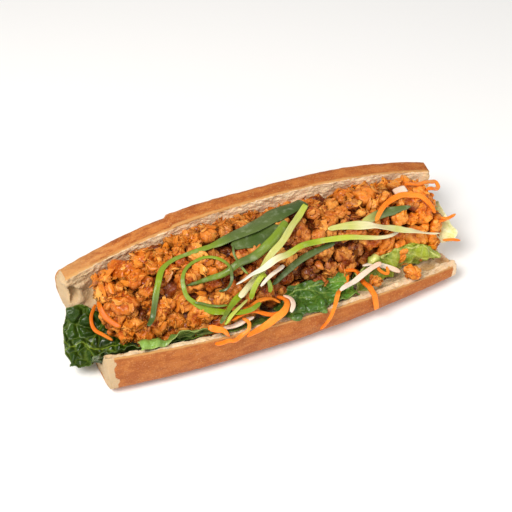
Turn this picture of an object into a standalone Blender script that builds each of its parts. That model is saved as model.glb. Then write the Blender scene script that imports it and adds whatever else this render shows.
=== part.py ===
"""Salt cod sandwich: a split loaf lying open on its bottom crust, with flaked salt cod over lettuce,
and strips of spring onion, carrot and daikon on top.

Metres, +Z up. +X runs along the loaf to its low end, and -Y is the side with the low cut edge.
The origin is under the middle of the loaf, on the surface that it rests on.
Shapes are worked out in millimetres and turned into metres as each mesh is made.
"""

import math

import bmesh
import bpy
import numpy as np
from mathutils import Vector, noise

MM = 0.001
GAP = 0.4                     # between pieces that rest on each other

# Loaf
LOAF_LENGTH = 252.0
NEAR_RIM_Y = -40.4            # low cut edge, at the loaf's middle
NEAR_RIM_Z = 25.7
NEAR_RIM_FALL = 9.6           # the low edge rises by this at -X and falls by it at +X
FAR_SIDE_Y = 55.6             # widest point of the high wall
FAR_SIDE_Z = 60.2
FAR_CUT_Y = 37.4              # crust edge on top of the high wall
FAR_CUT_Z = 60.8
NEAR_TAPER = 0.18             # share by which the low side draws in at each end
FAR_TAPER = 0.15
HEIGHT_TAPER = 0.27           # share by which the high wall falls at each end
TAPER_POWER = 2.2
CRUMB_LIP = 5.0               # crumb seen on top of the low wall
FLOOR_Z = 9.0
END_SWELL = 4.5               # the high wall's crumb bulges this far at the left end
LOAF_STATIONS = 27
LOAF_AROUND = 15

# Cod heap
HEAP_FROM_X = -117.0
HEAP_TO_X = 123.5
HEAP_CREST_Z = 58.5
HEAP_LUMP = 2.2
HEAP_LUMP_SIZE = 17.0
HEAP_CLEARANCE = 2.6          # room for lettuce under the heap
HEAP_FAR_GAP = 1.2            # between the heap and the high wall
HEAP_STATIONS = 34
HEAP_AROUND = 12              # points on the heap's top, and as many under it

# Strips
STEP = 1.5                    # heights under a strip are read this often
STRIP_RING = 5.5              # distance between rings of a strip's mesh
TIP_SHARE = 0.55              # a strip's end is this share of its width
STEEPEST = 0.6                # a strip's sideways slope
FIELD_X = (-150, 146)         # the grid of heights
FIELD_Y = (-62, 64)

# Leaves
LEAF_THICKNESS = 1.0
LEAF_LENGTHWISE = 12
LEAF_ACROSS = 7


# ---------------------------------------------------------------- curves and meshes

def smooth_curve(points, count):
    """count points spaced evenly along a smooth curve through the given ones."""
    points = np.array(points, float)
    steps = np.linalg.norm(np.diff(points, axis=0), axis=1)
    along = np.concatenate([[0], np.cumsum(steps)])
    slopes = np.gradient(points, along, axis=0)
    fine = np.linspace(0, along[-1], 12 * len(points))
    curve = np.array([hermite(points, slopes, along, value) for value in fine])
    steps = np.linalg.norm(np.diff(curve, axis=0), axis=1)
    run = np.concatenate([[0], np.cumsum(steps)])
    wanted = np.linspace(0, run[-1], count)
    return np.stack([np.interp(wanted, run, column) for column in curve.T], axis=1)


def hermite(points, slopes, along, value):
    i = min(max(np.searchsorted(along, value, side="right") - 1, 0), len(along) - 2)
    span = along[i + 1] - along[i]
    t = (value - along[i]) / span
    start = (2 * t**3 - 3 * t**2 + 1) * points[i] + (t**3 - 2 * t**2 + t) * span * slopes[i]
    end = (3 * t**2 - 2 * t**3) * points[i + 1] + (t**3 - t**2) * span * slopes[i + 1]
    return start + end


def ease(value, low, high):
    """0 below low, 1 above high, and a smooth step between."""
    t = np.clip((value - low) / (high - low), 0, 1)
    return t * t * (3 - 2 * t)


def add_object(name, vertices, faces, material):
    """A closed mesh object from points in millimetres, its faces turned outwards and shaded smooth."""
    mesh = bpy.data.meshes.new(name)
    mesh.from_pydata([tuple(point) for point in np.asarray(vertices) * MM], [], faces)
    shape = bmesh.new()
    shape.from_mesh(mesh)
    bmesh.ops.recalc_face_normals(shape, faces=shape.faces)
    bmesh.ops.triangulate(shape, faces=shape.faces)
    shape.to_mesh(mesh)
    shape.free()
    mesh.shade_smooth()
    mesh.set_sharp_from_angle(angle=math.radians(50))
    mesh.materials.append(material)
    piece = bpy.data.objects.new(name, mesh)
    bpy.context.scene.collection.objects.link(piece)
    return piece


def ring_faces(stations, around):
    """Quads between closed rings of points, with a cap on the first and the last ring."""
    faces = []
    for i in range(stations - 1):
        for j in range(around):
            k = (j + 1) % around
            faces.append((i * around + j, i * around + k, (i + 1) * around + k, (i + 1) * around + j))
    faces.append(tuple(range(around)))
    faces.append(tuple((stations - 1) * around + j for j in range(around)))
    return faces


# ---------------------------------------------------------------- loaf

def outer_section(u):
    """The crust's outline at u, from -1 at the left end to 1 at the right: low edge, bottom, high edge."""
    taper = abs(u) ** TAPER_POWER
    near = 1 - NEAR_TAPER * taper
    far = 1 - FAR_TAPER * taper
    tall = 1 - HEIGHT_TAPER * taper
    rim = NEAR_RIM_Z - NEAR_RIM_FALL * u
    low_side = [
        (NEAR_RIM_Y, rim),
        (NEAR_RIM_Y - 1.9, 0.6 * rim),
        (NEAR_RIM_Y + 1, 5),
        (NEAR_RIM_Y + 12, 0),
        (0, 0),
    ]
    high_side = [
        (18, 0),
        (FAR_SIDE_Y - 14, 7),
        (FAR_SIDE_Y - 2, 24),
        (FAR_SIDE_Y, 0.72 * FAR_SIDE_Z),
        (FAR_SIDE_Y - 5, 0.97 * FAR_SIDE_Z),
        (FAR_CUT_Y, FAR_CUT_Z),
    ]
    points = [(y * near, z) for y, z in low_side] + [(y * far, z * tall) for y, z in high_side]
    return np.array(points)


def inner_section(u):
    """The crumb's outline at u, from the low wall's lip over the floor to the edge under the high crust."""
    outer = outer_section(u)
    lip_y, lip_z = outer[0]
    top_y, top_z = outer[-1]
    return np.array([
        (lip_y + CRUMB_LIP, lip_z - 0.6),
        (lip_y + CRUMB_LIP + 4, 0.62 * lip_z + 0.38 * FLOOR_Z),
        (-14, FLOOR_Z + 1.5),
        (2, FLOOR_Z),
        (17, FLOOR_Z + 3),
        (0.8 * top_y, 0.45 * top_z),
        (0.93 * top_y, 0.72 * top_z),
        (top_y - 1.8, 0.86 * top_z),
        (top_y - 1.2, top_z - 0.8),
    ])


def loaf_x(u, y, z):
    """The loaf's ends are cut a little askew and swell, so a station's x depends on y and z."""
    t = (u + 1) / 2
    swell = END_SWELL * ease(y, 15, 45) * np.sin(math.pi * np.clip(z / 46, 0, 1))
    left = -1.2 - 0.077 * y - swell * ease(-u, 0.8, 1)
    right = 0.6 + 0.183 * y
    return u * LOAF_LENGTH / 2 + left * (1 - t) + right * t


def bend(u):
    return -1.4 * (1 - u * u)


def section_points(u, section):
    """A section's points in 3-D."""
    y = section[:, 0] + bend(u)
    return np.stack([loaf_x(u, section[:, 0], section[:, 1]), y, section[:, 1]], axis=1)


def flat_bottom(points):
    """Keeps the crust's underside on the surface it rests on, without dips below it."""
    points[:, 1] = np.maximum(points[:, 1], 0)
    return points


def add_loaf(material):
    rings = []
    for u in np.linspace(-1, 1, LOAF_STATIONS):
        outer = flat_bottom(smooth_curve(outer_section(u), LOAF_AROUND))
        inner = smooth_curve(inner_section(u), LOAF_AROUND)
        rings.append(section_points(u, np.concatenate([outer, inner[::-1]])))
    return add_object("bread", np.concatenate(rings), ring_faces(LOAF_STATIONS, 2 * LOAF_AROUND), material)


# ---------------------------------------------------------------- a path over the crumb and the low edge

def carrier(u):
    """The trough's surface at u as a line of points, from high on the far crumb, over the floor and the
    low wall's lip, and down the outside. Returns points, outward normals, and the distance past the lip."""
    inner = smooth_curve(inner_section(u), 60)[::-1]
    outer = smooth_curve(outer_section(u), 60)[:14]
    line = np.concatenate([inner, outer])
    tangent = np.gradient(line, axis=0)
    for _ in range(3):
        tangent[1:-1] = (tangent[:-2] + tangent[1:-1] + tangent[2:]) / 3
    tangent /= np.linalg.norm(tangent, axis=1)[:, None]
    normal = np.stack([-tangent[:, 1], tangent[:, 0]], axis=1)
    normal *= np.sign(normal[40, 1])
    steps = np.linalg.norm(np.diff(line, axis=0), axis=1)
    along = np.concatenate([[0], np.cumsum(steps)])
    return line, normal, along - along[len(inner) - 1]


def on_carrier(x, distances, lifts):
    """Points of the trough's surface at x, at these distances past the lip, lifted off it."""
    u = np.clip(2 * x / LOAF_LENGTH, -1, 1)
    line, normal, along = carrier(u)
    y = np.interp(distances, along, line[:, 0]) + np.interp(distances, along, normal[:, 0]) * lifts
    z = np.interp(distances, along, line[:, 1]) + np.interp(distances, along, normal[:, 1]) * lifts
    return np.stack([np.full(len(y), x), y + bend(u), z], axis=1)


# ---------------------------------------------------------------- cod

def heap_section(x):
    """The heap's top outline at x, from its near foot over the crest to its far foot."""
    near_foot = np.interp(x, [-112, -98, -85, -55, -25, 10, 60, 125], [-9, -15, -20, -26, -21, -13, -15, -16])
    near_z = np.interp(x, [-110, -50, 10, 125], [30, 29, 30, 20])
    far_z = np.interp(x, [-112, -85, -60, 0, 95, 125], [40, 48, 53, 52.5, 48, 40])
    wall = inner_section(np.clip(2 * x / LOAF_LENGTH, -1, 1))[5:]
    far_foot = np.interp([far_z, far_z - 8], wall[:, 1], wall[:, 0]) - HEAP_FAR_GAP
    crest = HEAP_CREST_Z - 6 * abs(x / 120) ** 2.5
    return np.array([
        (near_foot, near_z - 8),
        (near_foot - 0.5, near_z),
        (0.5 * near_foot - 1, 0.5 * near_z + 0.5 * crest - 1),
        (4, crest - 1.5),
        (14, crest),
        (24, 0.4 * crest + 0.6 * far_z + 2),
        (far_foot[0], far_z),
        (far_foot[1], far_z - 8),
    ])


def heap_floor(x, top):
    """The heap's underside at x, just over the lettuce in the trough, from its far foot to its near one."""
    u = np.clip(2 * x / LOAF_LENGTH, -1, 1)
    line, normal, _ = carrier(u)
    under = line + normal * HEAP_CLEARANCE
    inside = (under[:, 0] < top[-1, 0] - 1) & (under[:, 0] > top[0, 0] + 1) & (under[:, 1] < 30)
    chosen = under[inside]
    return smooth_curve(chosen[:: max(1, len(chosen) // 8)], HEAP_AROUND)


def add_heap(material):
    rings = []
    middle_y, middle_z = 6.0, 30.0
    for x in np.linspace(HEAP_FROM_X, HEAP_TO_X, HEAP_STATIONS):
        top = smooth_curve(heap_section(x), HEAP_AROUND)
        ring = np.concatenate([top, heap_floor(x, top)])
        reach = (2 * x - HEAP_FROM_X - HEAP_TO_X) / (HEAP_TO_X - HEAP_FROM_X)
        shrink = max(1 - abs(reach) ** 14, 0) ** 0.35 * 0.75 + 0.25
        ring = (ring - (middle_y, middle_z)) * shrink + (middle_y, middle_z)
        place = np.stack([np.full(len(ring), x), ring[:, 0] + bend(2 * x / LOAF_LENGTH), ring[:, 1]], axis=1)
        for point in place[:HEAP_AROUND]:
            point += lump(point)
        rings.append(place)
    return add_object("salt_cod", np.concatenate(rings), ring_faces(HEAP_STATIONS, 2 * HEAP_AROUND), material)


def lump(point):
    """The uneven push of the flakes at a point of the heap's top."""
    where = Vector(point / HEAP_LUMP_SIZE)
    size = noise.noise(where) + 0.6 * noise.noise(where * 2.3)
    return np.array([0, -0.3, 1]) * size * HEAP_LUMP


# ---------------------------------------------------------------- lettuce

# Each leaf is a smooth patch through rows across the trough. A row is its x, then points given as the
# distance past the low wall's lip (negative inside the trough) and the height off the trough's surface.
LEAVES = {
    "lettuce_left": [
        (-145, [(-52, 3), (-42, 2), (-30, 1)]),
        (-140, [(-69, 1.5), (-45, 1), (-28, 1)]),
        (-134, [(-73, 1.5), (-42, 1), (-22, 1.5)]),
        (-129, [(-74, 1.2), (-40, 0.8), (-8, 2)]),
        (-124, [(-73, 1), (-35, 0.8), (-1, 1.6)]),
        (-108, [(-60, 0.6), (-30, 0.6), (-0.6, 1.6)]),
        (-90, [(-38, 0.6), (-20, 0.6), (-0.6, 1.6)]),
        (-64, [(-22, 0.6), (-10, 0.6), (-1.5, 1)]),
    ],
    "lettuce_edge": [
        (-103, [(-3, 3), (0, 4.6), (4, 3)]),
        (-90, [(-5, 3), (-2, 4), (2, 3)]),
        (-78, [(-5, 2.6), (-3, 5), (0, 6)]),
        (-65, [(-6, 2.6), (-3, 5), (0, 6)]),
        (-54, [(-5, 2.6), (-2, 3.4), (2, 2)]),
    ],
    "lettuce_front": [
        (-11, [(-22, 3), (-12, 5), (-4, 4), (3, 2)]),
        (2, [(-21, 10), (-12, 9), (-3, 5), (7, 2.2)]),
        (15, [(-21, 13), (-12, 10), (-3, 5), (7, 2.2)]),
        (30, [(-20, 11), (-12, 8), (-5, 4), (4, 2.2)]),
        (44, [(-19, 10), (-13, 6), (-9, 3), (-5, 1)]),
    ],
}

# Leaves that stand against the heap's side or past its end: rows along the leaf, each of points.
STANDING_LEAVES = {
    "lettuce_middle": [
        [(-53, -29.5, 22), (-53, -34, 28.5), (-53, -39, 30.6)],
        [(-40, -28, 18), (-40, -32, 27), (-40, -39.5, 30)],
        [(-26, -26.5, 16), (-26, -31, 25.5), (-26, -39, 29.2)],
        [(-14, -25, 15), (-14, -31, 24), (-14, -37, 28)],
    ],
    "lettuce_right": [
        [(49, -18, 12.5), (49, -22, 14.5), (49, -27, 16)],
        [(62, -18.5, 12.5), (62, -20.5, 18.5), (62, -28, 16)],
        [(76, -18.5, 12), (76, -20, 24), (76, -27, 16.5)],
        [(91, -18.5, 12), (91, -20.5, 28), (91, -25, 19)],
        [(104, -18.5, 12), (104, -20.5, 25), (104, -24, 17)],
        [(115, -19, 12.3), (115, -20, 17), (115, -22, 14)],
    ],
    "lettuce_tip": [
        [(125.5, 13, 37), (127, 11, 38), (128.5, 9, 39)],
        [(125.5, 5, 31), (128.5, 3, 33), (131, 2, 35)],
        [(125.5, -4, 27), (128.5, -5, 29), (132, -6, 31)],
        [(124, -12, 24), (127.5, -15, 26), (130.5, -17, 28)],
        [(122, -18, 22), (124, -20, 23), (126, -21, 24)],
    ],
}


def leaf_line(x, row):
    """A leaf's row across the trough, as points in 3-D."""
    distances, lifts = smooth_curve(row, LEAF_ACROSS).T
    return on_carrier(x, distances, lifts)


def add_leaf(name, lines, material):
    columns = [smooth_curve(column, LEAF_LENGTHWISE) for column in np.stack(lines, axis=1)]
    under = np.stack(columns, axis=1)
    return add_object(name, *thicken(under, LEAF_THICKNESS), material)


def thicken(under, thickness):
    """A grid of points made into a closed sheet of this thickness, on the side that faces up."""
    along, across = np.gradient(under, axis=0), np.gradient(under, axis=1)
    normals = np.cross(along, across)
    normals /= np.linalg.norm(normals, axis=2)[:, :, None]
    if normals[:, :, 2].mean() < 0:
        normals = -normals
    over = under + normals * thickness
    rows, columns = under.shape[:2]
    vertices = np.concatenate([under.reshape(-1, 3), over.reshape(-1, 3)])
    count = rows * columns
    faces = []
    for i in range(rows - 1):
        for j in range(columns - 1):
            k = i * columns + j
            faces.append((k, k + 1, k + columns + 1, k + columns))
            faces.append((count + k, count + k + columns, count + k + columns + 1, count + k + 1))
    edge = [j for j in range(columns)]
    edge += [i * columns + columns - 1 for i in range(1, rows)]
    edge += [(rows - 1) * columns + j for j in range(columns - 2, -1, -1)]
    edge += [i * columns for i in range(rows - 2, 0, -1)]
    for a, b in zip(edge, edge[1:] + edge[:1]):
        faces.append((a, count + a, count + b, b))
    return vertices, faces


# ---------------------------------------------------------------- strips

# Strips that lie on the filling: widths along the strip, thickness, then the route's points in plan.
# A third number is the least height of the strip's underside there, for stretches that bridge a gap.
LYING = {
    "scallion_short": ((4, 6.5, 6, 2), 0.8, [(59.6, -5.1), (77.9, -2.6), (97.1, -3.3)]),
    "scallion_dark": (
        (2.5, 4.5, 4.5, 3), 0.8,
        [(-10.3, -20.2), (-1, -16.5), (12.6, -12.1), (24.9, -10.5), (38.4, -9.2)],
    ),
    "scallion_under": ((6, 12, 12, 6), 0.8, [(-28.4, 3.1), (-19.2, 3.9), (-7.4, 4), (6.1, 6.4)]),
    "scallion_blade": (
        (12, 14, 13.5, 9, 4, 2.8, 3.6, 4, 3.2), 0.8,
        [(30, 22.7), (9.9, 18), (-12.8, 10.9), (-32.8, 8.9), (-43.8, 8.5), (-56, 7.9), (-66.3, 7.1),
         (-74.1, 3.8), (-80.9, -5.5), (-89.1, -17.5), (-94.4, -23.4)],
    ),
    "scallion_wisp": ((1.6, 1.6), 0.8, [(-27.8, 2.7), (-29.5, -2.9), (-28.4, -8.3), (-25.2, -15.3)]),
    "scallion_tube": (
        (5.5, 6, 5, 4, 1.5), 3,
        [(11.3, 6.2), (-3.6, -4.2), (-20.7, -8.7), (-37, -11.3), (-52.3, -11), (-64.1, -10.7)],
    ),
    "daikon_left": ((2.6, 4.5, 2.6), 1.5, [(-51, -36.2), (-44, -37.3), (-35.8, -35.3), (-29.5, -34.6)]),
    "carrot_short": ((4.5, 3.9, 2), 1.8, [(-60.3, -36), (-55.7, -38.8), (-51.9, -40.4), (-50.1, -44.8)]),
    "carrot_hook": (
        (2.6, 2.6, 2.1), 1.6,
        [(-59.2, -42.3), (-54.8, -45.8), (-49, -47.7), (-41.6, -44), (-37.1, -43.6), (-34.8, -40.1),
         (-37.2, -35.1)],
    ),
    "carrot_cross": (
        (2.6, 3.1, 2.6), 1.6,
        [(-45.9, -36.7, 36), (-35.4, -34.6, 37), (-28.8, -34.7, 35), (-18.1, -37.9), (-11.1, -37.6)],
    ),
    "carrot_arc": (
        (2.1, 3.1, 1.8), 1.6,
        [(-35.5, -31.2), (-24.7, -25.2), (-16.3, -23.4), (-9.8, -22.8), (-7, -25.9)],
    ),
    "carrot_loop": (
        (2.4, 4, 4.6, 4.4, 3.6, 2.4), 1.8,
        [(-38.8, -47.9), (-28.2, -43.8), (-20.1, -42.5), (-11.2, -39.5), (-6.3, -33.7), (-5.1, -26.2),
         (-8.3, -22.5)],
    ),
    "daikon_end": ((3.4, 3.6, 2.6), 1.4, [(-5.2, -26.2), (-2.3, -30.1), (-3, -36.5), (-6.9, -41.8)]),
    "scallion_ring": (
        (3, 4.5, 4.5, 3, 2.2, 2, 2, 1.6), 0.9,
        [(-23.9, -32.2), (-32.1, -35.5), (-40.7, -34.5), (-47.8, -28.5), (-56.9, -23.5), (-62.6, -19.9),
         (-66.3, -16.5), (-66.4, -10.4), (-64.4, -5.1), (-59.4, -0.7), (-54, 1.3), (-46.4, 2),
         (-40.2, -1.2), (-36.2, -7.9), (-36.1, -15.1), (-37.1, -17.5), (-40.8, -18.7), (-46.6, -17.8)],
    ),
    "scallion_thread": ((1.8, 1.8), 0.8, [(-62.8, -20.8), (-53.4, -24.4), (-43.2, -25.8)]),
    "scallion_light": ((2.5, 2.5), 0.8, [(-30.9, -27), (-40.3, -33.4), (-50.8, -39.7)]),
    "scallion_green": ((3, 4.5, 3), 0.8, [(-53.6, -39.7), (-43.2, -30.1), (-29.6, -20.8), (-19.5, -16.2)]),
    "scallion_fork": (
        (4, 4.5, 4.5, 4), 0.8,
        [(29.1, 16.5), (15.8, 4.6), (-1.3, -9.3), (-12.4, -13.9), (-23.9, -18.6), (-35.1, -25.8)],
    ),
    "scallion_loop": (
        (3.5, 3.5, 3), 0.8,
        [(-29.3, -29.6), (-25.5, -24.8), (-19.7, -20.5), (-15, -18.5), (-13.2, -21.2), (-13.7, -24.3),
         (-14.9, -25.4)],
    ),
    "daikon_sliver": ((2, 3.2), 1.2, [(-21.2, -26.4, 46), (-8.4, -18.9, 46), (-0.5, -14.8, 45)]),
    "scallion_white": (
        (1.5, 4.5, 4, 4, 3, 1.2), 0.9,
        [(-35.5, -20.6, 46), (-24.7, -18.1, 49), (-13.4, -18.1, 52), (-0.9, -15.5, 53), (13.5, -9.5, 52),
         (25.6, -8.8, 50.5), (45.2, -9.7, 47), (76.2, -14.6, 41), (89, -10.8, 38)],
    ),
    "scallion_pale": (
        (3, 6, 5, 4, 1.2), 0.8,
        [(36, -2.9, 53), (50.9, -5, 52), (67.6, -11, 49.5), (86, -16.4, 44), (110, -22.4, 36)],
    ),
    "daikon_arch": ((2.6, 3.9, 3.2), 1.4, [(55, -19, 27), (64, -20, 24), (71, -24, 21), (78, -30, 16)]),
    "carrot_curl": ((2.1, 2.1), 1.4, [(65, -17, 24), (64, -27, 20), (68, -30, 18), (70, -25, 19)]),
    "daikon_front": ((2.6, 3.9, 3.2), 1.5, [(31, -35, 24), (43, -29, 22), (56, -25, 22), (66, -24, 22)]),
    "carrot_left": ((2.6, 3.9, 3.4), 1.8, [(-117.2, 7.7), (-116.5, -1.6), (-113, -7.7), (-108.9, -12.3)]),
    "daikon_pink": ((5.2, 6.5), 2, [(89.9, 8.2), (99.1, 8.3)]),
    "carrot_bow": (
        (2.6, 3.9, 3.9, 2.6), 1.8,
        [(67.6, -9.6, 50), (72.9, -4.4, 51), (81.2, 1.5, 52), (89.3, 2.8, 53), (98.6, 1.8, 53),
         (106.5, -0.1, 51), (109.9, -4.3, 48), (111.1, -8.6, 45), (110.7, -12.4, 42)],
    ),
    "carrot_far": (
        (2.6, 3.1, 2.6), 1.8,
        [(100, 11.5), (108, 11), (116, 13, 45), (124, 16, 45), (129.5, 17.5, 43), (128.5, 13, 42),
         (122.5, 9, 42), (116, 7.5, 43)],
    ),
    "carrot_end": ((2.1, 2.1), 1.6, [(116.5, -10.5, 34), (123, -10.2, 36), (130.5, -8.5, 35)]),
    "carrot_tip": ((2.1, 1.8), 1.4, [(118, -9, 37), (121, -11.5, 36), (126.5, -12, 32)]),
    "carrot_drop": ((1.8, 1.8), 1.4, [(117, -17.3, 23), (123, -20.5, 20), (127, -23.5, 14)]),
}

# Strips that hang over the low wall or stand clear: widths, thickness, then x, distance and height as
# for a leaf.
OVER_EDGE = {
    "carrot_hanging": (
        (2.3, 3.1, 1.8), 1.6, [(45, -17, 12), (40, -9, 8.5), (27, 1, 6), (18, 9, 4.4), (12, 16, 2.4)],
    ),
    "carrot_thick": (
        (2.9, 3.6, 3.6), 1.8, [(43, -16, 16.5), (49, -14, 15), (52, -4, 6), (52.5, 6, 2.6), (53.5, 14, 2)],
    ),
    "carrot_bottom": (
        (2.3, 2.6, 2.1), 1.6,
        [(-116, -73, 3.6), (-121, -64, 3.4), (-121, -54, 3.2), (-117, -48, 3.2), (-113, -42, 3.2)],
    ),
}


class Heights:
    """The top of everything placed so far, on a grid of 1 mm."""

    def __init__(self):
        self.top = np.zeros((FIELD_X[1] - FIELD_X[0] + 1, FIELD_Y[1] - FIELD_Y[0] + 1))

    def add(self, piece):
        mesh = piece.data
        mesh.calc_loop_triangles()
        points = np.array([vertex.co for vertex in mesh.vertices]) / MM - (FIELD_X[0], FIELD_Y[0], 0)
        for triangle in mesh.loop_triangles:
            self.add_triangle(points[list(triangle.vertices)])

    def add_triangle(self, corners):
        low = np.floor(corners[:, :2].min(axis=0)).astype(int)
        high = np.ceil(corners[:, :2].max(axis=0)).astype(int)
        x, y = np.meshgrid(np.arange(low[0], high[0] + 1), np.arange(low[1], high[1] + 1), indexing="ij")
        (ax, ay, az), (bx, by, bz), (cx, cy, cz) = corners
        area = (by - cy) * (ax - cx) + (cx - bx) * (ay - cy)
        if abs(area) < 1e-6:
            return
        first = ((by - cy) * (x - cx) + (cx - bx) * (y - cy)) / area
        second = ((cy - ay) * (x - cx) + (ax - cx) * (y - cy)) / area
        third = 1 - first - second
        inside = (first > -0.01) & (second > -0.01) & (third > -0.01)
        height = np.where(inside, first * az + second * bz + third * cz, 0)
        patch = self.top[low[0]:high[0] + 1, low[1]:high[1] + 1]
        np.maximum(patch, height, out=patch)

    def at(self, x, y):
        """The highest of the four grid points round each place."""
        i = np.clip(np.floor(x - FIELD_X[0]).astype(int), 0, self.top.shape[0] - 2)
        j = np.clip(np.floor(y - FIELD_Y[0]).astype(int), 0, self.top.shape[1] - 2)
        near = [self.top[i + a, j + b] for a in (0, 1) for b in (0, 1)]
        return np.max(near, axis=0)


def running(values, reach, how):
    """values with each one replaced by how() of its neighbours within reach."""
    padded = np.pad(values, reach, mode="edge")
    return how([padded[k:k + len(values)] for k in range(2 * reach + 1)], axis=0)


def lie(heights, route, widths, thickness):
    """Centres, sideways and upward directions of a strip that lies on what is under it."""
    route = np.array([tuple(point) + (0,) * (3 - len(point)) for point in route], float)
    length = np.linalg.norm(np.diff(route[:, :2], axis=0), axis=1).sum()
    path = smooth_curve(route[:, :2], int(length / STEP) + 2)
    turns = np.concatenate([[0], np.cumsum(np.linalg.norm(np.diff(route[:, :2], axis=0), axis=1))])
    least = np.interp(np.linspace(0, turns[-1], len(path)), turns, route[:, 2])
    forward = np.gradient(path, axis=0)
    forward /= np.linalg.norm(forward, axis=1)[:, None]
    sideways = np.stack([-forward[:, 1], forward[:, 0]], axis=1)
    half = np.interp(np.linspace(0, 1, len(path)), np.linspace(0, 1, len(widths)), widths) / 2 + 0.4
    offsets = np.linspace(-1, 1, 7)[:, None] * half
    under = np.array([heights.at(*(path + sideways * row[:, None]).T) for row in offsets])
    tilt = np.clip((under[-1] - under[0]) / (2 * half), -STEEPEST, STEEPEST)
    tilt = running(tilt, 4, np.mean)
    base = np.max(under - tilt * offsets, axis=0) + GAP
    base = running(running(np.maximum(base, least), 3, np.max), 3, np.mean)
    centre = np.concatenate([path, (base + thickness / 2)[:, None]], axis=1)
    side = np.concatenate([sideways, tilt[:, None]], axis=1)
    side /= np.linalg.norm(side, axis=1)[:, None]
    return centre, side


def hang(route):
    """Centres and sideways directions of a strip laid along the trough's surface and over its edge."""
    path = smooth_curve(route, 40)
    centre = np.concatenate([on_carrier(x, np.array([s]), np.array([lift])) for x, s, lift in path])
    raised = np.concatenate([on_carrier(x, np.array([s]), np.array([lift + 1])) for x, s, lift in path])
    return centre, np.cross(raised - centre, np.gradient(centre, axis=0))


def add_strip(name, centre, side, widths, thickness, material):
    """A strip of rectangular section along a line of centres, drawn in at both ends."""
    length = np.linalg.norm(np.diff(centre, axis=0), axis=1).sum()
    rings = max(5, int(length / STRIP_RING) + 1)
    chosen = np.linspace(0, len(centre) - 1, rings)
    at = np.arange(len(centre))
    centre = np.stack([np.interp(chosen, at, column) for column in centre.T], axis=1)
    side = np.stack([np.interp(chosen, at, column) for column in side.T], axis=1)
    side /= np.linalg.norm(side, axis=1)[:, None]
    up = np.cross(np.gradient(centre, axis=0), side)
    up *= np.where(up[:, 2] < 0, -1, 1)[:, None]
    up /= np.linalg.norm(up, axis=1)[:, None]
    share = np.linspace(0, 1, rings)
    half = np.interp(share, np.linspace(0, 1, len(widths)), widths) / 2
    half[[0, -1]] *= TIP_SHARE
    out, rise = side * half[:, None], up * thickness / 2
    right, left = centre + out, centre - out
    corners = np.stack([right + rise, right - rise, left - rise, left + rise], axis=1)
    return add_object(name, corners.reshape(-1, 3), ring_faces(rings, 4), material)


# ---------------------------------------------------------------- fallen lumps of cod

LUMPS = {"cod_lump_large": (86, -32, 4.5), "cod_lump_small": (57.5, -32.5, 3.0)}


def add_lump(name, x, y, radius, heights, material):
    """An uneven ball that rests on what is under it."""
    ball = bmesh.new()
    bmesh.ops.create_icosphere(ball, subdivisions=2, radius=1)
    points = np.array([vertex.co for vertex in ball.verts])
    faces = [tuple(vertex.index for vertex in face.verts) for face in ball.faces]
    ball.free()
    uneven = np.array([1 + 0.25 * noise.noise(Vector(point) * 1.7 + Vector((x, y, 0))) for point in points])
    points = points * uneven[:, None] * radius
    low = points[points[:, 2] < 0]
    base = np.max(heights.at(low[:, 0] + x, low[:, 1] + y) - low[:, 2])
    return add_object(name, points + (x, y, base + GAP), faces, material)


def make_material(name, colour, roughness):
    material = bpy.data.materials.new(name)
    material.use_nodes = True
    shader = material.node_tree.nodes["Principled BSDF"]
    shader.inputs["Base Color"].default_value = (*colour, 1)
    shader.inputs["Roughness"].default_value = roughness
    shader.inputs["Metallic"].default_value = 0
    return material


def main():
    for old in list(bpy.data.objects):
        bpy.data.objects.remove(old, do_unlink=True)
    crust = make_material("crust", (0.52, 0.19, 0.055), 0.75)
    cod = make_material("salt_cod", (0.62, 0.19, 0.03), 0.55)
    looks = {
        "lettuce": make_material("lettuce", (0.06, 0.16, 0.02), 0.4),
        "scallion": make_material("scallion", (0.25, 0.42, 0.09), 0.35),
        "carrot": make_material("carrot", (0.85, 0.25, 0.02), 0.35),
        "daikon": make_material("daikon", (0.8, 0.7, 0.58), 0.35),
    }
    heights = Heights()
    heights.add(add_loaf(crust))
    heights.add(add_heap(cod))
    for name, rows in LEAVES.items():
        lines = [leaf_line(x, row) for x, row in rows]
        heights.add(add_leaf(name, lines, looks["lettuce"]))
    for name, rows in STANDING_LEAVES.items():
        lines = [smooth_curve(row, LEAF_ACROSS) for row in rows]
        heights.add(add_leaf(name, lines, looks["lettuce"]))
    for name, (widths, thickness, route) in OVER_EDGE.items():
        centre, side = hang(route)
        heights.add(add_strip(name, centre, side, widths, thickness, looks[name.split("_")[0]]))
    for name, (x, y, radius) in LUMPS.items():
        heights.add(add_lump(name, x, y, radius, heights, cod))
    for name, (widths, thickness, route) in LYING.items():
        centre, side = lie(heights, route, widths, thickness)
        heights.add(add_strip(name, centre, side, widths, thickness, looks[name.split("_")[0]]))


main()
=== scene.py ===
"""Looks of the salt cod sandwich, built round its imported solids.

Points are worked out in millimetres, in the part's own frame: +X runs along the loaf to its low end,
-Y is the side with the low cut edge, and +Z is up. add_piece turns them into metres.
"""

import math
from collections import namedtuple
from itertools import product

import bmesh
import bpy
import numpy as np
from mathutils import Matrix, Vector
from mathutils.bvhtree import BVHTree


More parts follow.
